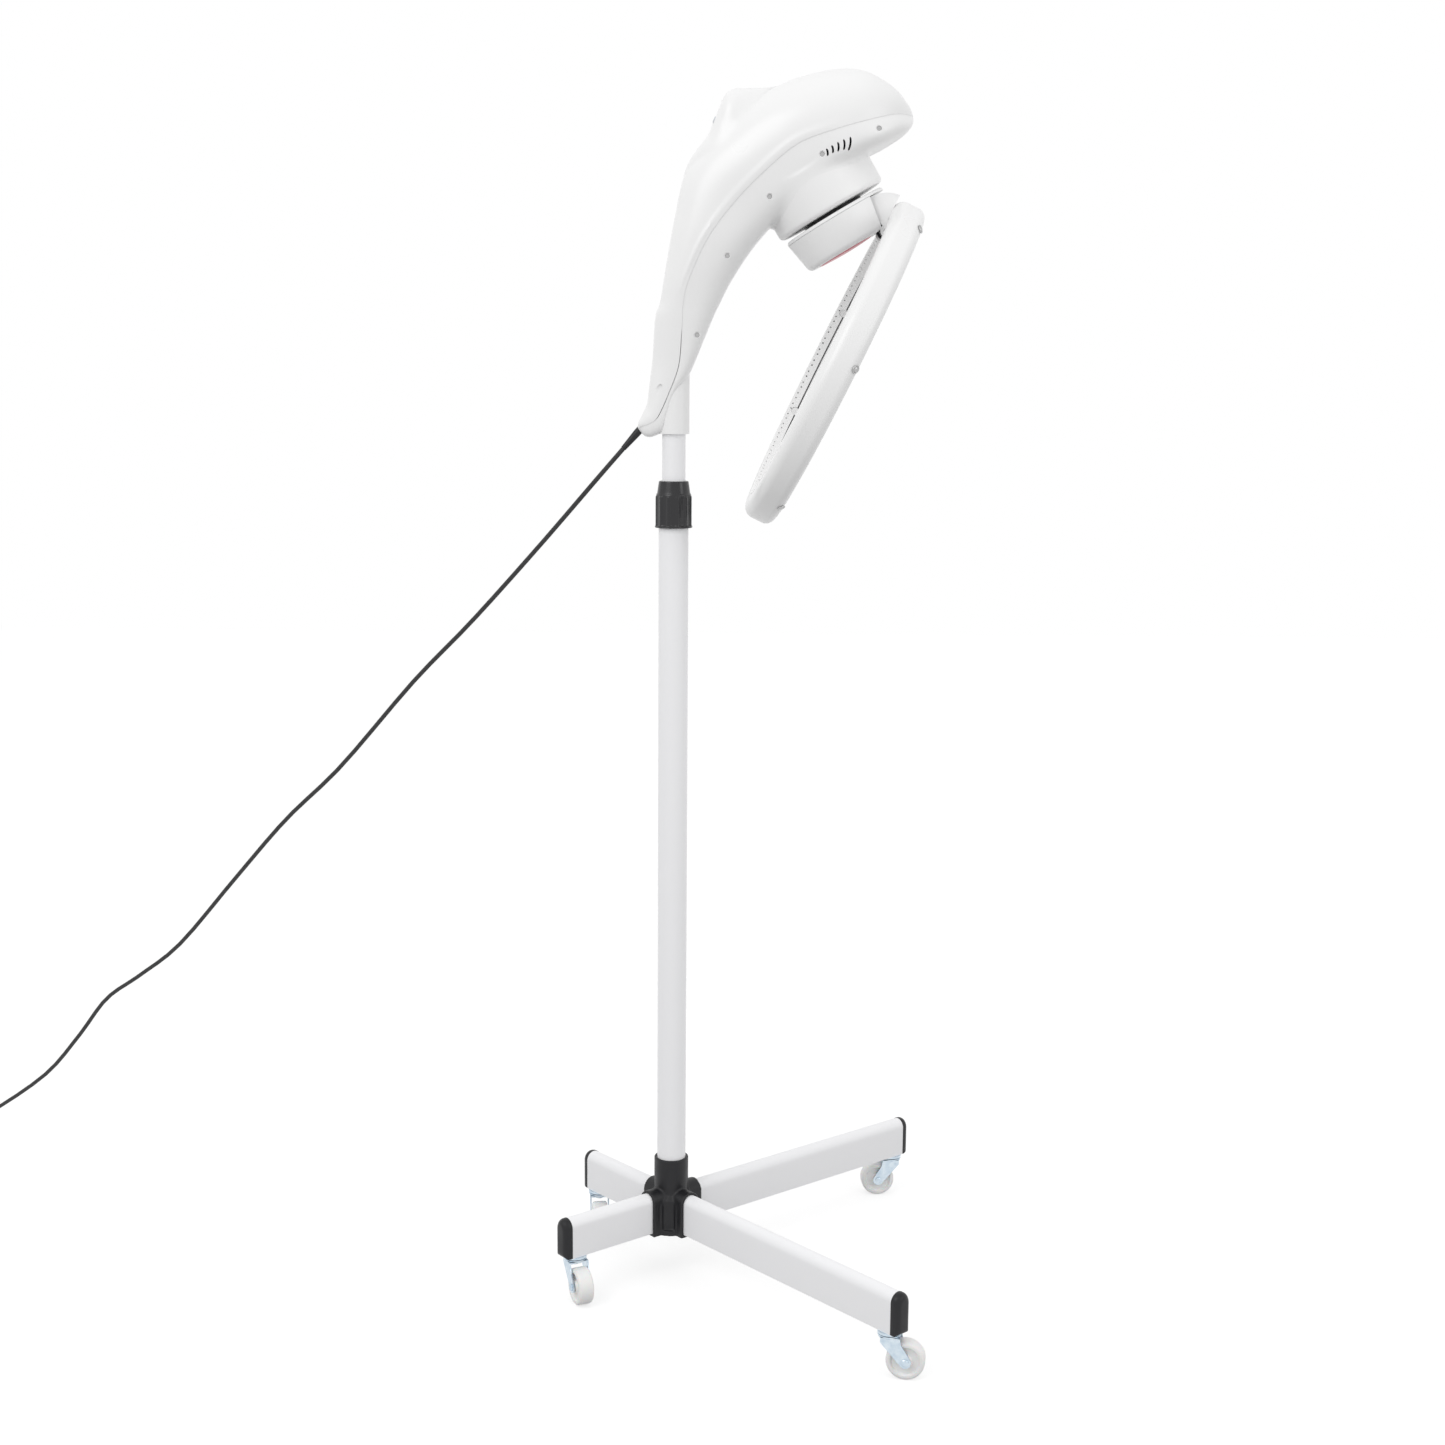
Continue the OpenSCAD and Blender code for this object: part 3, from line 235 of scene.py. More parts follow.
# %% Finish helpers
def finish(name, colour, rough, metal=0.0, **sockets):
    """A Principled shader with its whole-surface values set on its own sockets."""
    material = bpy.data.materials.new(name)
    material.use_nodes = True
    shader = material.node_tree.nodes["Principled BSDF"]
    shader.inputs["Base Color"].default_value = (*colour, 1)
    shader.inputs["Roughness"].default_value = rough
    shader.inputs["Metallic"].default_value = metal
    for socket, value in sockets.items():
        shader.inputs[socket.replace("_", " ")].default_value = value
    return material


def add_node(material, kind, **inputs):
    """Adds a node and sets its inputs by name."""
    node = material.node_tree.nodes.new(kind)
    for key, value in inputs.items():
        node.inputs[key].default_value = value
    return node


def noise_on(material, stretch=(1, 1, 1), **inputs):
    """The output of a noise texture on object coordinates, stretched along an axis where the surface is rolled."""
    tree = material.node_tree
    where = add_node(material, "ShaderNodeTexCoord")
    scaled = add_node(material, "ShaderNodeMapping", Scale=stretch)
    noise = add_node(material, "ShaderNodeTexNoise", **inputs)
    tree.links.new(where.outputs["Object"], scaled.inputs["Vector"])
    tree.links.new(scaled.outputs["Vector"], noise.inputs["Vector"])
    return noise.outputs["Fac"]


def relief(material, scale, strength, distance=0.0002, detail=3.0):
    """Noise feeds the shader's bump, as the skin of a moulding or a coat of paint."""
    tree = material.node_tree
    bump = add_node(material, "ShaderNodeBump", Strength=strength, Distance=distance)
    tree.links.new(noise_on(material, Scale=scale, Detail=detail, Roughness=0.55), bump.inputs["Height"])
    tree.links.new(bump.outputs["Normal"], tree.nodes["Principled BSDF"].inputs["Normal"])


def uneven(material, socket, scale, low, high, stretch=(1, 1, 1)):
    """Noise between two values, or two colours, drives one socket, so that gloss and tint are never dead flat."""
    tree = material.node_tree
    ramp = add_node(material, "ShaderNodeValToRGB")
    elements = ramp.color_ramp.elements
    elements[0].position, elements[1].position = 0.35, 0.65
    for element, value in zip(elements, (low, high)):
        element.color = (*value, 1) if hasattr(value, "__len__") else (value, value, value, 1)
    tree.links.new(noise_on(material, stretch, Scale=scale, Detail=4.0), ramp.inputs["Fac"])
    tree.links.new(ramp.outputs["Color"], tree.nodes["Principled BSDF"].inputs[socket])


# %% [markdown]
# ## The white plastic and the powder coat
#
# The head, drum and halo are injection-moulded ABS with a polished tool. A clear coat would make it glossier, but
# on so much white it only sparkles, so the plain surface stays. A very shallow, slow waviness from shrinkage bends
# the reflections, and handling leaves the gloss a little uneven. The band and the lip glow faintly by themselves:
# that is painted light, which brightens their shaded inner face.

# %% White plastics and powder coat
gloss_white = finish("gloss_white_abs", (0.90, 0.90, 0.90), 0.30)
uneven(gloss_white, "Roughness", 9, 0.27, 0.34)
relief(gloss_white, 14, 0.05, 0.001, 0.0)

# The faint emission of the band's finish is painted light: it brightens the shaded inner face of the band and the
# lip.
band_white_painted_glow = finish("band_abs_painted_glow", (0.92, 0.92, 0.92), 0.32, Emission_Strength=0.05)
uneven(band_white_painted_glow, "Roughness", 30, 0.29, 0.38)

drum_white = finish("satin_white_abs", (0.90, 0.90, 0.90), 0.34)
uneven(drum_white, "Roughness", 14, 0.30, 0.40)
relief(drum_white, 900, 0.05, 0.0001)

powder_coat = finish("white_powder_coat", (0.92, 0.92, 0.935), 0.40)
uneven(powder_coat, "Roughness", 25, 0.34, 0.44)
relief(powder_coat, 420, 0.10, 0.0002, 2.0)
print("white finishes:", *(material.name for material in (gloss_white, band_white_painted_glow, drum_white, powder_coat)))

# %% [markdown]
# ## Black mouldings, wheels and metal
#
# The hub, caps and neck are satin polypropylene with a fine spark-eroded grain. The clamp nut is glossier. The
# wheels are milky polyamide: a pale grey could stand for that, but a little light under the skin looks softer.
# The forks are zinc plated, which is bluish and cloudy, so noise between two tints drives their colour.

# %% Black plastics, wheels and metals
satin_black = finish("satin_black_pp", (0.010, 0.010, 0.012), 0.42, Specular_IOR_Level=0.36)
uneven(satin_black, "Roughness", 40, 0.34, 0.50)
relief(satin_black, 1500, 0.18, 0.0001)

nut_black = finish("gloss_black_nylon", (0.012, 0.012, 0.014), 0.26, Specular_IOR_Level=0.5)
uneven(nut_black, "Roughness", 60, 0.18, 0.30)
relief(nut_black, 500, 0.08, 0.0001)

wheel_milk = finish("milky_polyamide", (0.90, 0.90, 0.89), 0.40, Subsurface_Weight=0.15, Subsurface_Scale=0.002)
uneven(wheel_milk, "Roughness", 120, 0.36, 0.50)
relief(wheel_milk, 700, 0.08, 0.0001)

zinc = finish("bluish_zinc", (0.60, 0.68, 0.75), 0.28, 1.0)
uneven(zinc, "Base Color", 160, (0.52, 0.62, 0.71), (0.66, 0.74, 0.80))
relief(zinc, 900, 0.06, 0.0001)

plain_steel = finish("plain_steel", (0.46, 0.46, 0.46), 0.30, 1.0)
uneven(plain_steel, "Roughness", 300, 0.22, 0.38)

bright_reflector = finish("bright_reflector", (0.82, 0.82, 0.84), 0.16, 1.0)
uneven(bright_reflector, "Roughness", 30, 0.10, 0.24, stretch=(1, 1, 6))
print("black and milky finishes:", *(material.name for material in (satin_black, nut_black, wheel_milk)))
print("metals:", *(material.name for material in (zinc, plain_steel, bright_reflector)))

# %% [markdown]
# ## Small finishes
#
# The lens is a red diffuser with its lamps behind it, the quartz tube is clear and warm, and the window is smoked.
# Real lamps behind the lens would be slow and noisy, so the lens glows a little by itself. What sits inside the
# drum gets an honest finish too, although it is hardly seen.

# %% Lens, glass, boards and cord
red_lens = finish("red_lens", (0.42, 0.05, 0.09), 0.22, Transmission_Weight=0.2, IOR=1.5,
                  Emission_Color=(1.0, 0.06, 0.10, 1), Emission_Strength=0.10)
relief(red_lens, 60, 0.2, 0.0004, 0.0)

quartz = finish("quartz", (0.96, 0.86, 0.78), 0.06, Transmission_Weight=0.75, IOR=1.46)
relief(quartz, 200, 0.03, 0.0001)

smoked_window = finish("smoked_window", (0.012, 0.014, 0.018), 0.08, Coat_Weight=0.5, Coat_Roughness=0.03)
uneven(smoked_window, "Roughness", 50, 0.06, 0.12)

button_grey = finish("button_grey", (0.66, 0.69, 0.72), 0.28)
uneven(button_grey, "Roughness", 200, 0.24, 0.36)

board_green = finish("board_green", (0.02, 0.11, 0.06), 0.4)
uneven(board_green, "Base Color", 350, (0.015, 0.09, 0.05), (0.03, 0.15, 0.08))

lamp_white = finish("lamp_white", (0.80, 0.79, 0.74), 0.5)
relief(lamp_white, 800, 0.1, 0.0001)

acetal = finish("gear_acetal", (0.83, 0.80, 0.70), 0.32)
uneven(acetal, "Roughness", 90, 0.28, 0.40)

cord_black = finish("cord_pvc", (0.016, 0.016, 0.017), 0.5)
uneven(cord_black, "Roughness", 160, 0.42, 0.62)
relief(cord_black, 1200, 0.15, 0.0001)
small_finishes = red_lens, quartz, smoked_window, button_grey, board_green, lamp_white, acetal, cord_black
print("small finishes:", *(material.name for material in small_finishes))

# %% [markdown]
# ## Cutting
#
# Recesses, vents and pockets could be painted dark, but real holes catch the light at every angle. They are cut
# with Blender's exact boolean from closed prisms, built the same way as everything else, and the prisms are
# deleted once the cut is applied.

# %% Cutters
SIDEWAYS = np.array([[1, 0, 0, 0], [0, 0, -1, 0], [0, 1, 0, 0], [0, 0, 0, 1.0]])


def prism(outline, low, high, to_world):
    """A closed prism: a flat outline in a frame's x and y, once at low and once at high on its z axis."""
    outline = np.asarray(outline, float)
    n = len(outline)
    if np.sum(outline[:, 0] * np.roll(outline[:, 1], -1) - outline[:, 1] * np.roll(outline[:, 0], -1)) < 0:
        outline = outline[::-1]
    local = np.vstack([np.column_stack([outline, np.full(n, z)]) for z in (low, high)])
    sides = [[i, (i + 1) % n, n + (i + 1) % n, n + i] for i in range(n)]
    return moved(local, to_world), [list(range(n))[::-1], list(range(n, 2 * n)), *sides]


def disc(r, n=48):
    """A circle as an outline of n points: an arc that stops one step short of where it began."""
    return arc(0, 0, r, 0, 360 * (n - 1) / n, n - 1)


def rectangle(x, y):
    """A rectangle as an outline, from its lowest and highest x and y."""
    return [[x[0], y[0]], [x[1], y[0]], [x[1], y[1]], [x[0], y[1]]]


def facing(place, z, x=(0, 0, 1)):
    """A frame at a place with its z axis along one direction and its x axis as near as can be to another."""
    z = np.asarray(z, float) / np.linalg.norm(z)
    y = np.cross(z, x)
    y /= np.linalg.norm(y)
    m = np.eye(4)
    m[:3, 0], m[:3, 1], m[:3, 2], m[:3, 3] = np.cross(y, z), y, z, place
    return m


def carve(piece, *groups):
    """Cuts groups of prisms from a piece; the prisms of one group stay clear of each other."""
    cutters = []
    for group in groups:
        cutters.append(mesh_piece("cutter", *merged(group), piece.data.materials[0]))
        cut = piece.modifiers.new("cut", "BOOLEAN")
        cut.object, cut.operation, cut.solver = cutters[-1], "DIFFERENCE", "EXACT"
    settled = piece.evaluated_get(bpy.context.evaluated_depsgraph_get())
    before = piece.data
    piece.data = bpy.data.meshes.new_from_object(settled)
    piece.modifiers.clear()
    bpy.data.meshes.remove(before)
    for cutter in cutters:
        bpy.data.meshes.remove(cutter.data)
    print(piece.name, "cut to", len(piece.data.polygons), "faces")


# %% [markdown]
# ## The head's skin
#
# The head is two shells that meet in one parting line, from the tail to the nose. A sculpted mesh could follow it,
# but both shells can share nineteen sections and then fit exactly. Each row below holds the top of the back cover,
# the parting line and the underside of the front cover as x and height, and then half the width, in millimetres.
# Between rows the spline interpolates, and around the arch a rounded power of sine and cosine makes a shape
# between an ellipse and a box. Along the neck the covers part by a hair, so that their joint shows as a line.

# %% Sections of the head
HEAD_SECTIONS = np.array([
    [-39, 8, -38, 5.5, -36, 2, 4.5], [-37.3, 13.5, -33.5, 8, -30, -3, 10], [-33, 22, -26, 11, -21, -2.5, 13.5],
    [-28.6, 32, -17, 18, -9, 6.5, 16], [-26.3, 50, -5, 44, 1.5, 40, 18.5], [-23, 78, 5, 72, 16, 62, 21.5],
    [-21, 112, 8, 106, 33.6, 104, 26], [-19.3, 126, 8.7, 120, 41, 121.7, 28],
    [-14.8, 139, 9.6, 136, 47, 134.5, 30], [-9.6, 171, 15, 159, 60, 160, 34], [0, 224, 34, 200, 81, 192, 41],
    [14, 276, 60, 235, 104, 219, 47], [52, 317, 92, 267, 130, 242, 56.5], [98, 353.5, 126, 294, 160, 265, 65],
    [146, 371.3, 163, 308, 193, 285.5, 68], [190, 374.5, 198, 318.5, 218, 298, 63],
    [224, 359, 226, 326, 238, 310, 46], [242, 340.5, 242, 328, 246.5, 319, 21],
    [247.8, 330, 248, 328.5, 248.2, 327.4, 1.2]]) / 1000
HEAD_ROWS, ARCH_COLUMNS = 240, 96
COVER_WALL, COVER_STEP = 0.0025, 0.0007
BACK_ROUND, FRONT_ROUND = 0.84, 0.66
BLUNTER_ARCH, ROUNDER_NOSE = -0.24, 0.1
NECK_SEAM, SEAM_FROM, SEAM_TO, SEAM_FADE = 0.0006, 2.5, 6.3, 0.7
THINNEST = 0.4


def ease(t):
    """Smooth step from 0 to 1: three squares less two cubes."""
    t = np.clip(t, 0, 1)
    return t * t * (3 - 2 * t)


def rounded(v, power):
    """A power that keeps the sign."""
    return np.sign(v) * np.abs(v)**power


def front_round(k):
    """The front cover's power by section: it falls under the arch, where the cover is blunt like a box, and rises
    again at the nose."""
    return FRONT_ROUND + BLUNTER_ARCH * ease((k - 9) / 3.5) + ROUNDER_NOSE * ease((k - 14.5) / 2.5)


def cover_arches(side, inset=0.0):
    """A cover's skin as a grid, with rows from tail to nose: from the parting line towards the tip by a rounded
    sine, and sideways by half the width times a rounded cosine. Also its parting points and section numbers."""
    k = np.linspace(0, len(HEAD_SECTIONS) - 1, HEAD_ROWS)
    row = through(HEAD_SECTIONS, k)
    foot, tip = row[:, 2:4], row[:, 4:6] if side else row[:, 0:2]
    high = np.linalg.norm(tip - foot, axis=1)
    open_seam = NECK_SEAM * side * ease((k - SEAM_FROM) / SEAM_FADE) * ease((SEAM_TO - k) / SEAM_FADE)
    foot = foot + (tip - foot) * (open_seam / high)[:, None]
    wide = row[:, 6] - COVER_STEP * side
    power = (front_round(k) if side else np.full(HEAD_ROWS, BACK_ROUND))[:, None]
    share = (np.maximum(high - inset, THINNEST * high) / high)[:, None]
    a = np.linspace(0, math.pi, ARCH_COLUMNS)[None, :]
    rise = rounded(np.sin(a).clip(0), power) * share
    x = foot[:, :1] + (tip - foot)[:, :1] * rise
    z = foot[:, 1:] + (tip - foot)[:, 1:] * rise + HEAD_Z
    y = np.maximum(wide - inset, THINNEST * wide)[:, None] * rounded(np.cos(a), power)
    base = np.stack([foot[:, 0], 0 * k, foot[:, 1] + HEAD_Z], 1)[:, None, :]
    return np.stack([x, y, z], -1), base, k


def shell_piece(name, outer, inner, flip, material):
    """A closed shell: an outer grid, an inner grid turned the other way, and the rim that joins their edges."""
    rows, columns = outer.shape[:2]
    n = rows * columns
    skin = grid_faces(rows, columns)
    i, j = np.arange(rows), np.arange(columns)
    loop = np.concatenate([i[:-1] * columns, (rows - 1) * columns + j[:-1],
                           i[:0:-1] * columns + columns - 1, j[:0:-1]])
    ahead = np.roll(loop, -1)
    faces = np.vstack([skin, (skin + n)[:, ::-1], np.stack([loop, ahead, ahead + n, loop + n], 1)])
    points = np.concatenate([outer.reshape(-1, 3), inner.reshape(-1, 3)])
    return mesh_piece(name, points, faces[:, ::-1] if flip else faces, material)


def outward(grid, base):
    """Unit normals of a grid: the cross product of its two slopes, turned away from its arches' feet."""
    n = np.cross(np.gradient(grid, axis=0), np.gradient(grid, axis=1))
    n /= np.linalg.norm(n, axis=2, keepdims=True) + 1e-12
    return n * np.sign(np.sum(n * (grid - base), axis=2, keepdims=True))


print(len(HEAD_SECTIONS), "sections, the widest", round(2000 * float(HEAD_SECTIONS[:, 6].max())), "mm")

# %% [markdown]
# ## The pod grows out of the back
#
# The controls sit on a pod that is moulded in one piece with the back cover. A boolean union would leave a sharp
# valley, so the two skins are blended by their distances instead. The pod's outline runs over the hump, with the
# share of its half width at each point. Rays come from outside towards the parting line, so the first hit is the
# pod's visible face. The larger of the two distances wins, and where they are alike a little is added, which
# rounds the valley like a moulded fillet.

# %% Pod and back skin
POD_LINE = np.array([
    [13, 264, 0.4], [17.4, 281, 0.66], [25, 293.8, 0.86], [33.6, 305.6, 0.97], [38.7, 317.8, 1], [43.8, 330.7, 1],
    [49, 343.5, 1], [53.2, 350.2, 0.98], [61, 354.6, 0.93], [78, 355.7, 0.78], [93, 355.6, 0.58], [105, 354, 0.36]])
POD_FOCUS = np.array([95, 255])
POD_HALF, POD_ROUND, POD_DEPTH = 36, 0.56, 0.45
POD_BLEND = 0.010
RAY_START = 0.4


def pod_skin(rows=90, columns=64):
    """The pod's outer face as a grid: each arch starts at its foot, part of the way from the outline to the focus,
    and rises to the outline by a rounded sine, while its half width goes by a rounded cosine."""
    line = through(POD_LINE, np.linspace(0, len(POD_LINE) - 1, rows))
    top = line[:, None, :2]
    foot = top + POD_DEPTH * (POD_FOCUS - top)
    a = np.linspace(0, math.pi, columns)[None, :]
    xz = foot + rounded(np.sin(a).clip(0), POD_ROUND)[..., None] * (top - foot)
    y = POD_HALF * line[:, 2:] * rounded(np.cos(a), POD_ROUND)
    return np.stack([xz[..., 0], y, xz[..., 1] + 1000 * HEAD_Z], -1) / 1000


def pod_reach(grid, base):
    """Distance from the arches' feet to the pod along the ray through each point of the grid, or -1 beside it.
    Blender casts one ray at a time, so this is a loop."""
    pod = pod_skin()
    tree = BVHTree.FromPolygons(pod.reshape(-1, 3).tolist(), grid_faces(*pod.shape[:2]).tolist())
    away = grid - base
    away = away / (np.linalg.norm(away, axis=2, keepdims=True) + 1e-12)
    reach = np.full(grid.shape[:2], -1.0)
    for i, j in np.ndindex(*reach.shape):
        hit = tree.ray_cast(Vector(base[i, 0] + RAY_START * away[i, j]), Vector(-away[i, j]))
        if hit[3] is not None and hit[3] < RAY_START:
            reach[i, j] = RAY_START - hit[3]
    return reach


def alike(one, other, width):
    """What a smooth union adds: a parabola that is highest where two distances are the same."""
    return np.maximum(width - np.abs(one - other), 0)**2 / (4 * width)


back_skin, back_base, section = cover_arches(0)
to_pod = pod_reach(back_skin, back_base)
to_skin = np.linalg.norm(back_skin - back_base, axis=2)
blended = np.maximum(to_skin, to_pod) + alike(to_skin, to_pod, POD_BLEND)
back_skin = back_base + (back_skin - back_base) * (blended / to_skin)[..., None]
print("the pod stands", round(1000 * float((blended - to_skin).max()), 1), "mm above the plain skin")

# %% [markdown]
# ## The bead along the parting line
#
# Where the head arches over, a raised bead follows the edge of the back cover. It stiffens the moulding and hides
# the joint. A swept tube would need a second piece and a seam, so the skin itself is lifted by a bell curve of its
# distance from the edge, which fades out at both ends.

# %% Bead
BEAD_HIGH, BEAD_FROM_EDGE, BEAD_WIDE = 0.0013, 0.0048, 0.0023
BEAD_STARTS, FADE_IN, BEAD_ENDS, FADE_OUT = 8.2, 1.6, 14.6, 1.4

along = np.linalg.norm(np.diff(back_skin, axis=1, prepend=back_skin[:, :1]), axis=2).cumsum(axis=1)
from_edge = np.minimum(along, along[:, -1:] - along)
bead = BEAD_HIGH * np.exp(-((from_edge - BEAD_FROM_EDGE) / BEAD_WIDE)**2)
bead *= (ease((section - BEAD_STARTS) / FADE_IN) * ease((BEAD_ENDS - section) / FADE_OUT))[:, None]
back_skin += outward(back_skin, back_base) * bead[..., None]
print("bead on", int((bead > BEAD_HIGH / 2).any(axis=1).sum()), "of", HEAD_ROWS, "rows")

# %% [markdown]
# ## Back cover
#
# The back cover has a pocket for the display window, four button holes, a slot in a dimple near the tail, the hole
# of the sleeve that takes the mast and the cord's relief. They could be modelled into the grid, but the grid would
# need extra rows at each, so they are cut.

# %% Back cover
PANEL_LEAN = math.radians(-68)
PANEL_OUT = (math.sin(PANEL_LEAN), 0, math.cos(PANEL_LEAN))
PANEL_UP = (math.cos(PANEL_LEAN), 0, -math.sin(PANEL_LEAN))
PANEL = facing((0.0436, 0, HEAD_Z + 0.3302), PANEL_OUT, PANEL_UP)
WINDOW_X, WINDOW_Y, WINDOW_Z = (0, 0.013), (-0.018, 0.018), (-0.004, 0.002)
BUTTON_X, BUTTON_Y, BUTTON_Z = -0.008, (-0.015, -0.005, 0.005, 0.015), (-0.007, 0.008)
BUTTON_HOLE_R = 0.0038
SOCKET_R, SOCKET_Z = 0.0165, (HEAD_Z - 0.02, HEAD_Z + 0.1045)
RELIEF_R, RELIEF_LENGTH, RELIEF_Z = 0.0041, 0.032, (-0.004, 0.04)
DIMPLE_SLOT, DIMPLE_WIDTH, DIMPLE_DEPTH = ((-19.9, 41.4), (-12.8, 52)), 0.0046, 0.0012
BESIDE_THE_TAIL = 0.022
SIDE_OF_HEAD = SIDEWAYS + np.outer([0, 0, HEAD_Z, 0], [0, 0, 0, 1])


def slot_pair(low, high, width, inner_y, outer_y, bend=0.0):
    """A slot with round ends on both sides of the head, between two points of x and height above its foot, in
    millimetres. A bend bows it forwards by that share of its length."""
    low, high = np.array(low) / 1000, np.array(high) / 1000
    length = np.linalg.norm(high - low)
    ahead = (high - low) / length
    side = np.array([ahead[1], -ahead[0]])
    t = np.linspace(0, 1, 9)[:, None]
    middle = low + t * (high - low) + 4 * bend * length * t * (1 - t) * side
    into_the_end = np.clip(np.abs(2 * t - 1) * length - (length - width), 0, width * 0.98)
    half = width / 2 * np.sqrt(1 - into_the_end**2 / width**2)
    outline = np.vstack([middle - side * half, (middle + side * half)[::-1]])
    return [prism(outline, *ends, SIDE_OF_HEAD) for ends in ((inner_y, outer_y), (-outer_y, -inner_y))]


back_cover = shell_piece("back_cover_skin", back_skin, cover_arches(0, COVER_WALL)[0], False, gloss_white)
relief_end = CORD_ROUTE[0]
relief_hole = prism(disc(RELIEF_R), *RELIEF_Z, facing(relief_end - RELIEF_LENGTH * CORD_EXIT, CORD_EXIT))
socket_hole = prism(disc(SOCKET_R, 64), *SOCKET_Z, np.eye(4))
window_pocket = prism(rectangle(WINDOW_X, WINDOW_Y), *WINDOW_Z, PANEL)
button_holes = [prism(disc(BUTTON_HOLE_R, 32) + [BUTTON_X, y], *BUTTON_Z, PANEL) for y in BUTTON_Y]
dimple = np.mean(DIMPLE_SLOT, axis=0) / 1000
off_dimple = np.hypot(back_skin[..., 0] - dimple[0], back_skin[..., 2] - HEAD_Z - dimple[1])
dimple_y = abs(back_skin.reshape(-1, 3)[np.argmin(off_dimple + (back_skin[..., 1] > 0)), 1])
carve(back_cover, [window_pocket, *button_holes,
                   *slot_pair(*DIMPLE_SLOT, DIMPLE_WIDTH, dimple_y - DIMPLE_DEPTH, BESIDE_THE_TAIL)],
      [socket_hole], [relief_hole])
sharp_creases(back_cover, 38)
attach(back_cover, "head")
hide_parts("back_cover", "control_pod")

# %% [markdown]
# ## Front cover
#
# The front cover flows into the drive housing in a soft fillet. A bevel on the cut edge would follow the grid's
# facets, so the skin is lifted before the cut, by the same smooth union as the pod's, and then the drum's cylinder
# is cut from it. Ten screw recesses lie along its edge, and five bowed vents stand beside the fourth screw on both
# sides.

# %% Front cover
DRUM_BLEND, RISE_STEPS = 0.006, 61
DRUM_GAP, CAN_Z = 0.00005, (-0.03, HOUSING_H - 0.0003)
RECESS_R, RECESS_Z = 0.0034, (-0.009, 0.021)
VENT_WIDTH, VENT_Y, VENT_BEND = 0.0021, (0.050, 0.074), 0.09
SCREW_SPOTS = [(5.95, 32.7), (9.68, 27.4), (11.56, 13.8), (13.22, 11.7), (15.06, 9)]
VENT_SLOTS = [((156.4, 281.8), (155.1, 289)), ((161.7, 284.5), (160.3, 292.2)), ((166.8, 286.1), (166.3, 295.5)),
              ((172.6, 287.7), (172.2, 298.2)), ((177.2, 287.2), (178.9, 300.7))]


def drum_rise(skin, base):
    """How far the skin lifts towards the drum: the last height still inside the smooth union of the skin and the
    drum's can, which is the nearer of both distances less what they share."""
    away = outward(skin, base)
    rise = np.zeros(skin.shape[:2])
    for height in np.linspace(0, DRUM_BLEND, RISE_STEPS):
        local = (skin + height * away - drum_frame[:3, 3]) @ drum_frame[:3, :3]
        can = np.maximum(np.hypot(local[..., 0], local[..., 1]) - DRUM_R, local[..., 2] - HOUSING_H)
        rise = np.where(np.minimum(height, can) < alike(height, can, DRUM_BLEND), height, rise)
    return rise


def front_point(k, degrees):
    """A point of the front cover's skin from its section number and the angle round the arch."""
    row, power = through(HEAD_SECTIONS, k)[0], front_round(k)
    rise = math.sin(math.radians(degrees))**power
    x, z = row[2:4] + (row[4:6] - row[2:4]) * rise
    return x, (row[6] - COVER_STEP) * math.cos(math.radians(degrees))**power, z + HEAD_Z


recesses = []
for k, degrees in SCREW_SPOTS:
    x, y, z = front_point(k, degrees)
    recesses += [prism(disc(RECESS_R, 32), *RECESS_Z, facing((x, side * y, z), (0, -side, 0)))
                 for side in (1, -1)]
vents = [cutter for ends in VENT_SLOTS for cutter in slot_pair(*ends, VENT_WIDTH, *VENT_Y, VENT_BEND)]
drum_can = prism(disc(DRUM_R + DRUM_GAP, 256), *CAN_Z, drum_frame)
front_skin, front_base, _ = cover_arches(1)
front_skin += outward(front_skin, front_base) * drum_rise(front_skin, front_base)[..., None]
front_cover = shell_piece("front_cover_skin", front_skin, cover_arches(1, COVER_WALL)[0], True, gloss_white)
carve(front_cover, [drum_can], recesses + vents, [socket_hole], [relief_hole])
sharp_creases(front_cover, 38)
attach(front_cover, "head")
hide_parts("front_cover")

# %% [markdown]
# ## The halo
#
# The halo is a channel closed on its inner side by a band towards the drive and a lip round the mouth, with a dark
# seam between them. A bent tube would give the ring but not its flat inner face, so each of the three is its own
# profile turned about the halo's axis.

# %% Halo shell, band and lip
shell_foot = HALO_IN + 2.8 * MM
h, r0, r1 = HALO_HALF, HALO_IN, HALO_R
drive_round, mouth_round, wall = 12 * MM, 10 * MM, 2 * MM
SEAM_LOW, SEAM_HIGH = 6.0 * MM, 7.6 * MM
HALO_STEPS = 288

shell_profile = np.vstack([
    [[shell_foot, h - 2.4 * MM], [shell_foot, h - 1 * MM], [shell_foot + 0.3 * MM, h - 0.3 * MM],
     [shell_foot + 1 * MM, h]],
    arc(r1 - drive_round, h - drive_round, drive_round, 90, 0, 14),
    arc(r1 - mouth_round, mouth_round - h, mouth_round, 0, -90, 12),
    [[r1 - mouth_round - 0.6 * MM, 0.6 * MM - h], [r1 - mouth_round, 2 * MM - h]],
    arc(r1 - mouth_round, mouth_round - h, mouth_round - wall, -90, 0, 12),
    arc(r1 - drive_round, h - drive_round, drive_round - wall, 0, 90, 14),
    [[shell_foot + 1 * MM, h - wall - 0.4 * MM]]])
band_profile = [[r0 + 2 * MM, h], [r0 + 0.8 * MM, h], [r0 + 0.2 * MM, h - 0.2 * MM], [r0, h - 0.8 * MM],
                [r0, SEAM_HIGH + 0.2 * MM], [r0 + 0.2 * MM, SEAM_HIGH], [r0 + 2 * MM, SEAM_HIGH]]
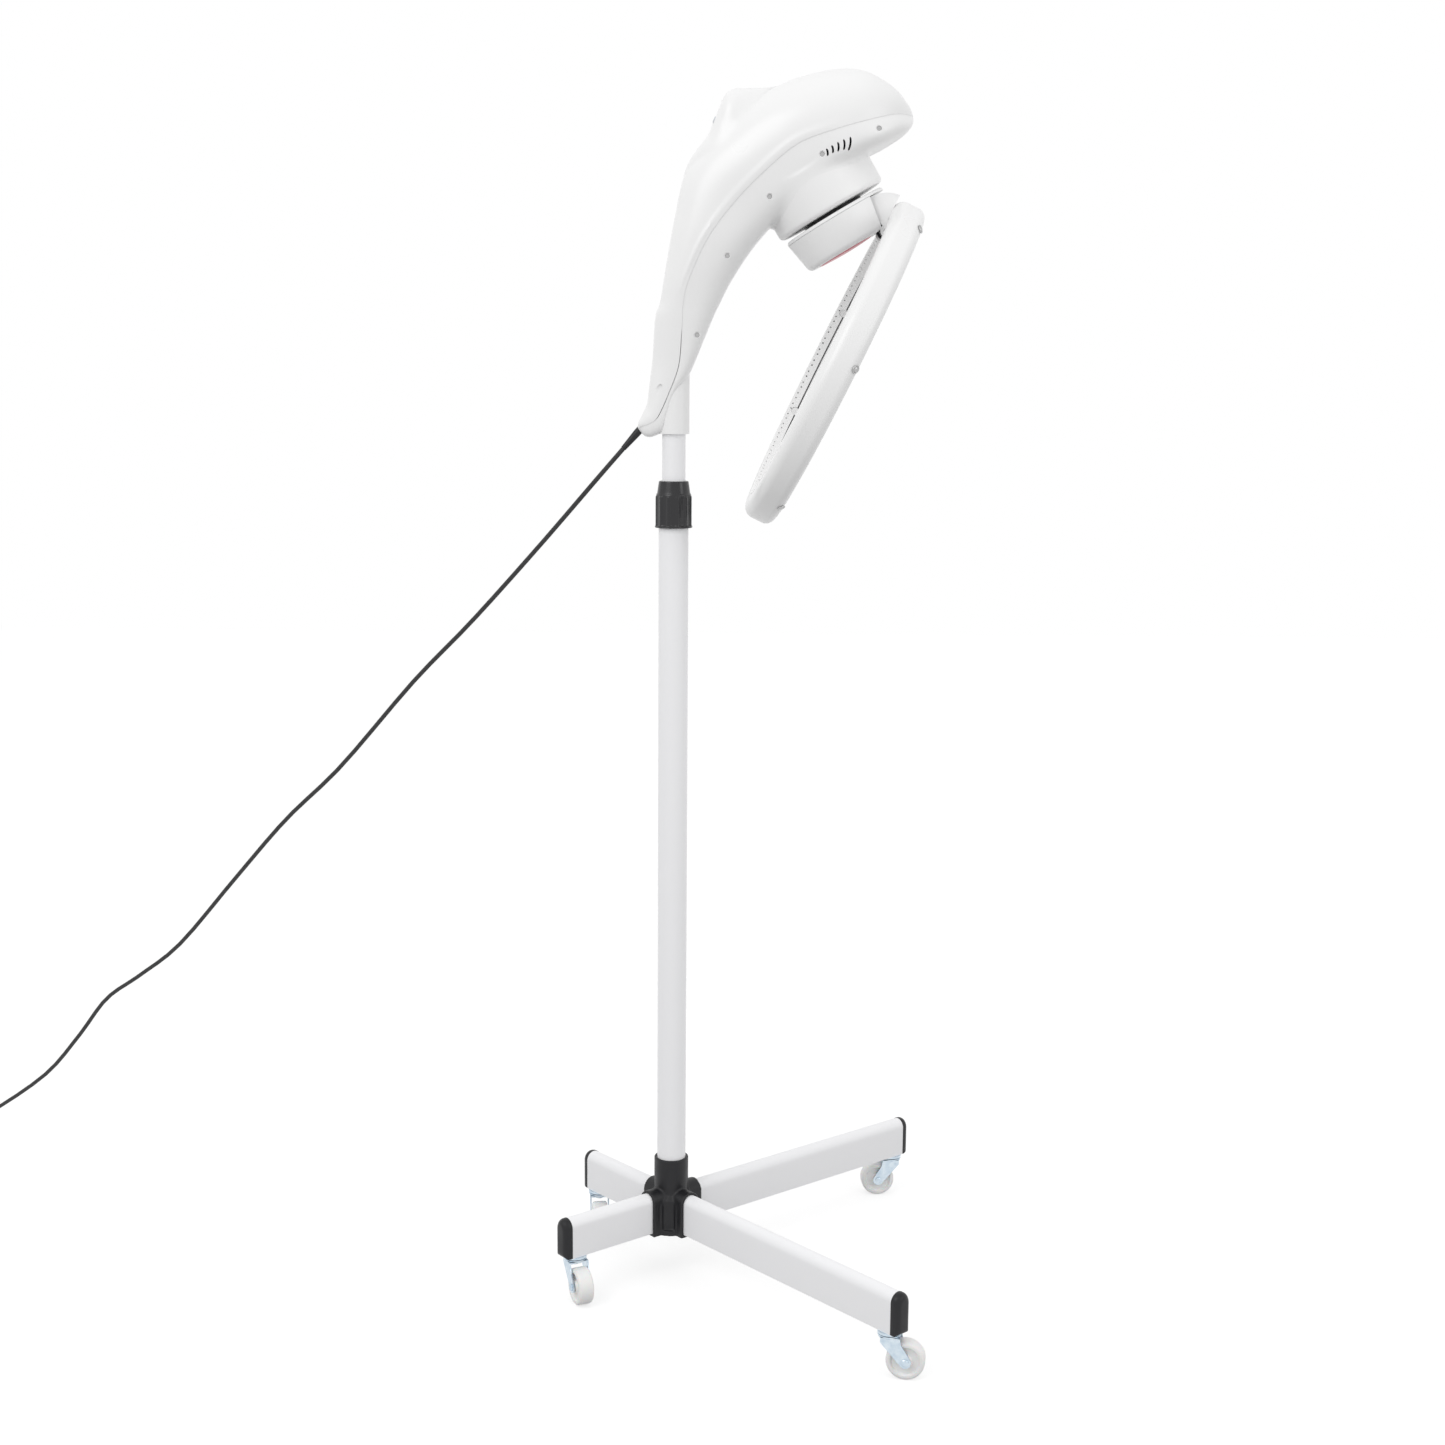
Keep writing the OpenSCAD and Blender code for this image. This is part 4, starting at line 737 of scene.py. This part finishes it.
lip_profile = np.vstack([
    [[r0 + 2 * MM, SEAM_LOW], [r0 + 0.2 * MM, SEAM_LOW], [r0, SEAM_LOW - 0.2 * MM]],
    arc(r0 + 4 * MM, 4 * MM - h, 4 * MM, 180, 270, 8), [[r0 + 5 * MM, -h], [r0 + 5 * MM, 1.8 * MM - h]],
    arc(r0 + 4.5 * MM, 4.3 * MM - h, 2.5 * MM, 270, 180, 6)])
halo_shell = mesh_piece("halo_shell_skin", *lathe(shell_profile, halo_frame, HALO_STEPS), gloss_white)
halo_band = mesh_piece("halo_band_skin", *lathe(band_profile, halo_frame, HALO_STEPS), band_white_painted_glow)
halo_lip = mesh_piece("halo_lip_skin", *lathe(lip_profile, halo_frame, HALO_STEPS), band_white_painted_glow)
print("halo profiles of", len(shell_profile), "+", len(band_profile), "+", len(lip_profile), "points")

# %% [markdown]
# ## Vents and screw recesses
#
# Warm air leaves the halo through two rows of small vents at the edge towards the drive, and eight screws sit in
# round recesses. A texture could show such small holes, but real ones turn dark by themselves when the halo is
# seen at a slant. Each cutter is a short round prism that stands on the band's face.

# %% Vents and recesses of the halo
VENTS_A_ROW, VENT_R = 72, 0.9 * MM
VENT_ROWS = ((0, h - 2.7 * MM), (0.43, h - 3.1 * MM))
BAND_SCREWS, SCREW_Z, SCREW_RECESS_R = 8, 8 * MM, 4.9 * MM


def on_the_band(share, height):
    """A frame on the band's face at a share of the way round; its z axis points away from the halo's axis."""
    a = 2 * math.pi * share
    spoke = halo_frame[:3, :3] @ [math.cos(a), math.sin(a), 0]
    return facing(halo_frame[:3, 3] + r0 * spoke + height * halo_frame[:3, 2], spoke, halo_frame[:3, 2])


def round_the_band(count, shift, height, radius, sides):
    """Round cutters through the band's wall, evenly spaced about the halo's axis."""
    return [prism(disc(radius, sides), -1 * MM, 4 * MM, on_the_band((i + shift) / count, height))
            for i in range(count)]


screw_recesses = round_the_band(BAND_SCREWS, 0.5, SCREW_Z, SCREW_RECESS_R, 32)
first_row, second_row = (round_the_band(VENTS_A_ROW, shift, height, VENT_R, 16) for shift, height in VENT_ROWS)
carve(halo_band, first_row + second_row + screw_recesses)
carve(halo_lip, screw_recesses)
for piece, node in ((halo_shell, "halo_shell"), (halo_band, "halo_band"), (halo_lip, "halo_band")):
    sharp_creases(piece, 40)
    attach(piece, "halo")
    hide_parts(node)

# %% [markdown]
# ## Leg caps
#
# The end caps are domed black mouldings. A bevel modifier would round their edges evenly, but the real dome is
# flat in the middle and drops off at the rim. So the cap is the tube's outline, flat below and round above, in
# rings that shrink towards the end like a quarter of a circle.

# %% Leg caps
LEGS = dict(front_left=(39.2, 0.365), front_right=(-48.8, 0.365),
            rear_left=(131.2, 0.152), rear_right=(-140.8, 0.152))
LEG_W, LEG_H, CASTER_H, CAP_T = 0.020, 0.044, 0.050, 0.007
CAP_PROUD, CAP_LENGTH, CAP_INSET = 0.3 * MM, 7.5 * MM, 6.5 * MM


def joined(name, shapes, material, body, node):
    """One piece from several closed shapes; it rides on a body and stands for a node."""
    piece = mesh_piece(name, *merged(shapes), material)
    sharp_creases(piece, 38)
    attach(piece, body)
    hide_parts(node)
    print(name, "has", len(piece.data.polygons), "faces")


def upright(degrees, x=0.0, y=0.0):
    """A frame turned about the vertical, with its x axis along a bearing."""
    c, s = math.cos(math.radians(degrees)), math.sin(math.radians(degrees))
    return np.array([[c, -s, 0, x], [s, c, 0, y], [0, 0, 1, 0], [0, 0, 0, 1.0]])


def dome(end, to_world):
    """Points and faces of a cap: rings of the leg's outline, pushed out by a sine and drawn in by a cosine."""
    w, top = LEG_W / 2 + CAP_PROUD, LEG_H + CAP_PROUD
    outline = np.vstack([[[w - 1 * MM, -0.3 * MM], [w, 0.7 * MM]], arc(0, top - w, w, 0, 180, 24),
                         [[-w, 0.7 * MM], [1 * MM - w, -0.3 * MM]]])
    middle = np.array([0, LEG_H / 2])
    rings = [(end - CAP_T - 1.5 * MM, 0)]
    rings += [(end - CAP_INSET + CAP_LENGTH * math.sin(t), CAP_INSET * (1 - math.cos(t)))
              for t in np.radians(np.arange(0, 91, 9))]
    points = []
    for x, inset in rings:
        flat = middle + (outline - middle) * [(w - inset) / w, (top / 2 - inset) / (top / 2)]
        points.append(np.column_stack([np.full(len(flat), x), flat + [0, CASTER_H]]))
    n, last = len(outline), (len(rings) - 1) * len(outline)
    faces = [*grid_faces(len(rings), n, False, True), list(range(n))[::-1], list(range(last, last + n))]
    return moved(np.vstack(points), to_world), faces


joined("leg_caps_domed", [dome(reach, upright(bearing)) for bearing, reach in LEGS.values()], satin_black,
       "base", "leg_caps")

# %% [markdown]
# ## Caster forks
#
# The forks are pressed from zinc-plated sheet: two broad cheeks that narrow to the axle, a bridge, and a stack of
# swivel rings. A sheet with a Solidify modifier could be folded to that shape, but the bends are hidden under the
# rings, so two prisms, a bridge and turned rings are enough and stay crisp.

# %% Caster forks
CASTER_REST = dict(front_left=185, front_right=-10, rear_left=-85, rear_right=-65)
CASTER_INSET, TRAIL, AXLE_Z = 0.019, 0.017, 0.02
CHEEK_Y, SHEET = 10.3 * MM, 1.5 * MM
CHEEK = np.vstack([[[-8.5, 45], [11.5, 45], [13, 38]], arc(17, 20, 6.2, 25, -150, 14), [[-8.5, 40]]]) * MM
SWIVEL_RINGS = np.array([[4, 42.6], [10, 42.6], [11.4, 43.4], [11.4, 44.2], [10.2, 44.7], [10.2, 45.1],
                         [12.2, 45.5], [12.2, 46.5], [11, 47], [4, 47]]) * MM
AXLE_NUT = np.array([[2, 11], [3.9, 11], [3.9, 12], [3.2, 12.7], [2, 12.9]]) * MM

for corner, (bearing, reach) in LEGS.items():
    x, y, _ = (reach - CASTER_INSET) * upright(bearing)[:3, 0]
    stand = upright(CASTER_REST[corner], x, y)
    axle = stand @ (SIDEWAYS + np.outer([TRAIL, 0, AXLE_Z, 0], [0, 0, 0, 1]))
    shapes = [prism(CHEEK, at - SHEET / 2, at + SHEET / 2, stand @ SIDEWAYS) for at in (CHEEK_Y, -CHEEK_Y)]
    shapes.append(prism(rectangle((-8.5 * MM, 11.5 * MM), (-11 * MM, 11 * MM)), 43.6 * MM, 45.1 * MM, stand))
    shapes.append(lathe(SWIVEL_RINGS[::-1], stand))
    shapes.append(prism(disc(2.5 * MM, 32), -13.2 * MM, 13.2 * MM, axle))
    shapes += [lathe((AXLE_NUT * [1, s])[::s], axle) for s in (1, -1)]
    joined("caster_fork_" + corner + "_pressed", shapes, zinc, "caster_fork_" + corner, "caster_fork_" + corner)

# %% [markdown]
# ## Clips and screws of the halo
#
# Wire eyelets, each under a pan-head screw, clip the guard to the rounded edge of the halo's mouth, and eight
# button-head screws sit in the band's recesses. They could be instances of one mesh, but they are few, so each
# kind is one piece of turned profiles, placed by its own frame.

# %% Eyelets and band screws
EYELETS, FIRST_EYELET = 6, 30
MOUTH_EDGE = 10 * MM
EYELET_WIRE = arc(3.7 * MM, 0.7 * MM, 0.75 * MM, 0, 324, 9)
PAN_HEAD = np.array([[0.2, 0.1], [3.1, 0.1], [3.1, 0.9], [2.7, 1.6], [1.9, 2.1], [0.2, 2.3]]) * MM
BUTTON_HEAD = np.array([[0.3, 2.2], [0.3, 0.4], [4.0, 0.4], [4.6, 0.9], [4.6, 2.2]]) * MM

eyelets = []
for i in range(EYELETS):
    a = math.radians(FIRST_EYELET + 360 / EYELETS * i)
    spoke = np.array([math.cos(a), math.sin(a), 0])
    lean = (spoke + [0, 0, -1]) / math.sqrt(2)
    place = spoke * (HALO_R - MOUTH_EDGE) + [0, 0, MOUTH_EDGE - HALO_HALF] + lean * MOUTH_EDGE
    at = facing(moved(place, halo_frame), halo_frame[:3, :3] @ lean, halo_frame[:3, :3] @ spoke)
    eyelets += [lathe(EYELET_WIRE[::-1], at, 40), lathe(PAN_HEAD[::-1], at, 32)]
band_screws = [lathe(BUTTON_HEAD, on_the_band((i + 0.5) / BAND_SCREWS, SCREW_Z), 40) for i in range(BAND_SCREWS)]
joined("band_screws", band_screws, gloss_white, "halo", "halo_screws")
joined("guard_eyelets", eyelets, plain_steel, "halo", "guard_clips")

# %% [markdown]
# ## Dressing the solids
#
# Most solids already have the right shape. They only need their finish, smooth shading on their curves and crisp
# edges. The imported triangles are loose, so they are joined by a modifier before the creases are split. The hub and
# the nut are mouldings with rounded edges everywhere. A bevel easily breaks on their long thin triangles, so a
# fine voxel remesh and a little smoothing soften them instead.

# %% Finishes of the solids
CORNERS = tuple(LEGS)
FINISHES = [
    (gloss_white, ["pole_socket", "back_cover", "front_cover", "cover_posts", "control_pod", "hinge_hood",
                   "halo_shell", "halo_band", "halo_screws"]),
    (drum_white, ["drive_housing", "carrier_lid", "carrier_cup"]),
    (powder_coat, ["leg_" + corner for corner in CORNERS] + ["lower_pole", "upper_pole", "mast"]),
    (satin_black, ["base_hub", "leg_caps", "clamp_collet", "mast_plugs", "orbit_neck", "hinge_bracket",
                   "strain_relief", "mains_plug"]),
    (nut_black, ["clamp_nut"]),
    (zinc, ["caster_studs", "drive_plate", "guard_grille", "guard_clips"]
     + ["caster_fork_" + corner for corner in CORNERS]),
    (wheel_milk, ["caster_wheel_" + corner for corner in CORNERS]),
    (plain_steel, ["leg_bolts", "pole_joint", "cover_screws", "gear_motor", "hinge_pin"]),
    (bright_reflector, ["halo_reflector"]),
    (red_lens, ["carrier_lens"]),
    (quartz, ["quartz_tube"]),
    (smoked_window, ["display_window"]),
    (button_grey, ["button_power", "button_timer", "button_heat", "button_orbit"]),
    (board_green, ["control_board"]),
    (lamp_white, ["lamp_board"]),
    (acetal, ["motor_pinion", "orbit_gear"]),
    (cord_black, ["cord_drop", "cord_coil"]),
]
SOFT_EDGED = {"base_hub": 0.0011, "clamp_nut": 0.0007}

for material, names in FINISHES:
    for name in names:
        solid = solids[name]
        solid.data.materials.clear()
        solid.data.materials.append(material)
        solid.data.polygons.foreach_set("use_smooth", [True] * len(solid.data.polygons))
        sharp_creases(solid, weld=True)
for name, voxel in SOFT_EDGED.items():
    solids[name].modifiers.remove(solids[name].modifiers["crease"])
    even_skin = solids[name].modifiers.new("even_skin", "REMESH")
    even_skin.mode, even_skin.voxel_size, even_skin.use_smooth_shade = "VOXEL", voxel, True
    soften = solids[name].modifiers.new("soften", "SMOOTH")
    soften.factor, soften.iterations = 0.5, 4
print("dressed", sum(len(names) for _, names in FINISHES), "of", len(solids))

# %% [markdown]
# ## The cord as a tube
#
# A mesh tube would do, but a curve with a round bevel keeps the path that it follows, which is easier to change.
# It stands for both of its solids, the hanging length and the coil, and the plug stays as the solid that it is.

# %% Cord tube
cord_curve = bpy.data.curves.new("mains_cord", "CURVE")
cord_curve.dimensions = "3D"
cord_curve.bevel_depth, cord_curve.bevel_resolution = CORD_R, 4
spline = cord_curve.splines.new("POLY")
spline.points.add(len(cord_path) - 1)
spline.points.foreach_set("co", np.hstack([cord_path, np.ones((len(cord_path), 1))]).ravel())
cord_curve.materials.append(cord_black)
mains_cord = bpy.data.objects.new("mains_cord", cord_curve)
bpy.context.scene.collection.objects.link(mains_cord)
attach(mains_cord, "head")
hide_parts("cord_drop", "cord_coil")
print("cord through", len(cord_path), "points")

# %% [markdown]
# ## Floor
#
# The dryer stands on a plain white floor. A curved backdrop would need a very large sheet, so the floor is flat
# and adds a little white of its own for the camera: it then meets the pale world without an edge and still takes a
# soft shadow.

# %% Floor
FLOOR_GREY, FLOOR_LIFT, FLOOR_REACH = 0.45, 0.64, 6.0


def backdrop_rays(tree):
    """1 for the rays that show the backdrop itself: from the camera, off metal or through glass."""
    ray = tree.nodes.new("ShaderNodeLightPath")
    total = ray.outputs["Is Camera Ray"]
    for name in ("Is Glossy Ray", "Is Transmission Ray"):
        more = tree.nodes.new("ShaderNodeMath")
        more.operation = "MAXIMUM"
        tree.links.new(total, more.inputs[0])
        tree.links.new(ray.outputs[name], more.inputs[1])
        total = more.outputs[0]
    return total


floor_finish = bpy.data.materials.new("studio_floor")
floor_finish.use_nodes = True
tree = floor_finish.node_tree
tree.nodes.clear()
matt = add_node(floor_finish, "ShaderNodeBsdfDiffuse", Color=(FLOOR_GREY, FLOOR_GREY, FLOOR_GREY, 1))
seen_white = add_node(floor_finish, "ShaderNodeEmission")
lift = add_node(floor_finish, "ShaderNodeMath")
lift.operation = "MULTIPLY"
lift.inputs[1].default_value = FLOOR_LIFT
both = add_node(floor_finish, "ShaderNodeAddShader")
tree.links.new(backdrop_rays(tree), lift.inputs[0])
tree.links.new(lift.outputs[0], seen_white.inputs["Strength"])
tree.links.new(matt.outputs[0], both.inputs[0])
tree.links.new(seen_white.outputs[0], both.inputs[1])
tree.links.new(both.outputs[0], add_node(floor_finish, "ShaderNodeOutputMaterial").inputs["Surface"])
floor_corners = [[*corner, 0] for corner in rectangle((-FLOOR_REACH, FLOOR_REACH), (-FLOOR_REACH, FLOOR_REACH))]
floor = mesh_piece("studio_floor", floor_corners, [[0, 1, 2, 3]], floor_finish, False)
print("floor", 2 * FLOOR_REACH, "m wide")

# %% [markdown]
# ## World and lamps
#
# White goods are lit softly from all round. A picture of a studio could light them, but an even world and two big
# area lamps give the same plain light and are easy to follow. The even light stays below white, so that white
# plastic keeps its shades, while the backdrop behind it is full white.

# %% World and lamps
EVEN_LIGHT, BACKDROP = 0.80, 1.0
LAMPS_AIM = (0.05, 0, 0.9)

world = bpy.data.worlds.new("pale_studio")
bpy.context.scene.world = world
world.use_nodes = True
tree = world.node_tree
even = tree.nodes["Background"]
white = tree.nodes.new("ShaderNodeBackground")
for background, strength in ((even, EVEN_LIGHT), (white, BACKDROP)):
    background.inputs["Color"].default_value = (1.0, 1.0, 1.0, 1)
    background.inputs["Strength"].default_value = strength
pick = tree.nodes.new("ShaderNodeMixShader")
tree.links.new(backdrop_rays(tree), pick.inputs["Fac"])
tree.links.new(even.outputs[0], pick.inputs[1])
tree.links.new(white.outputs[0], pick.inputs[2])
tree.links.new(pick.outputs[0], tree.nodes["World Output"].inputs["Surface"])


def soft_lamp(name, place, size, watts):
    """A square area lamp that looks from its place at the middle of the dryer."""
    data = bpy.data.lights.new(name, "AREA")
    data.size, data.energy = size, watts
    lamp = bpy.data.objects.new(name, data)
    lamp.location = place
    away = np.subtract(place, LAMPS_AIM)
    lamp.rotation_euler = (math.atan2(math.hypot(away[0], away[1]), away[2]), 0, math.atan2(away[0], -away[1]))
    bpy.context.scene.collection.objects.link(lamp)


soft_lamp("key_left", (-1.6, -1.8, 2.4), 1.6, 22)
soft_lamp("fill_right", (2.0, -1.4, 1.5), 1.4, 8)
bpy.context.scene.view_settings.view_transform = "Standard"
print("lamps", len(bpy.data.lights))
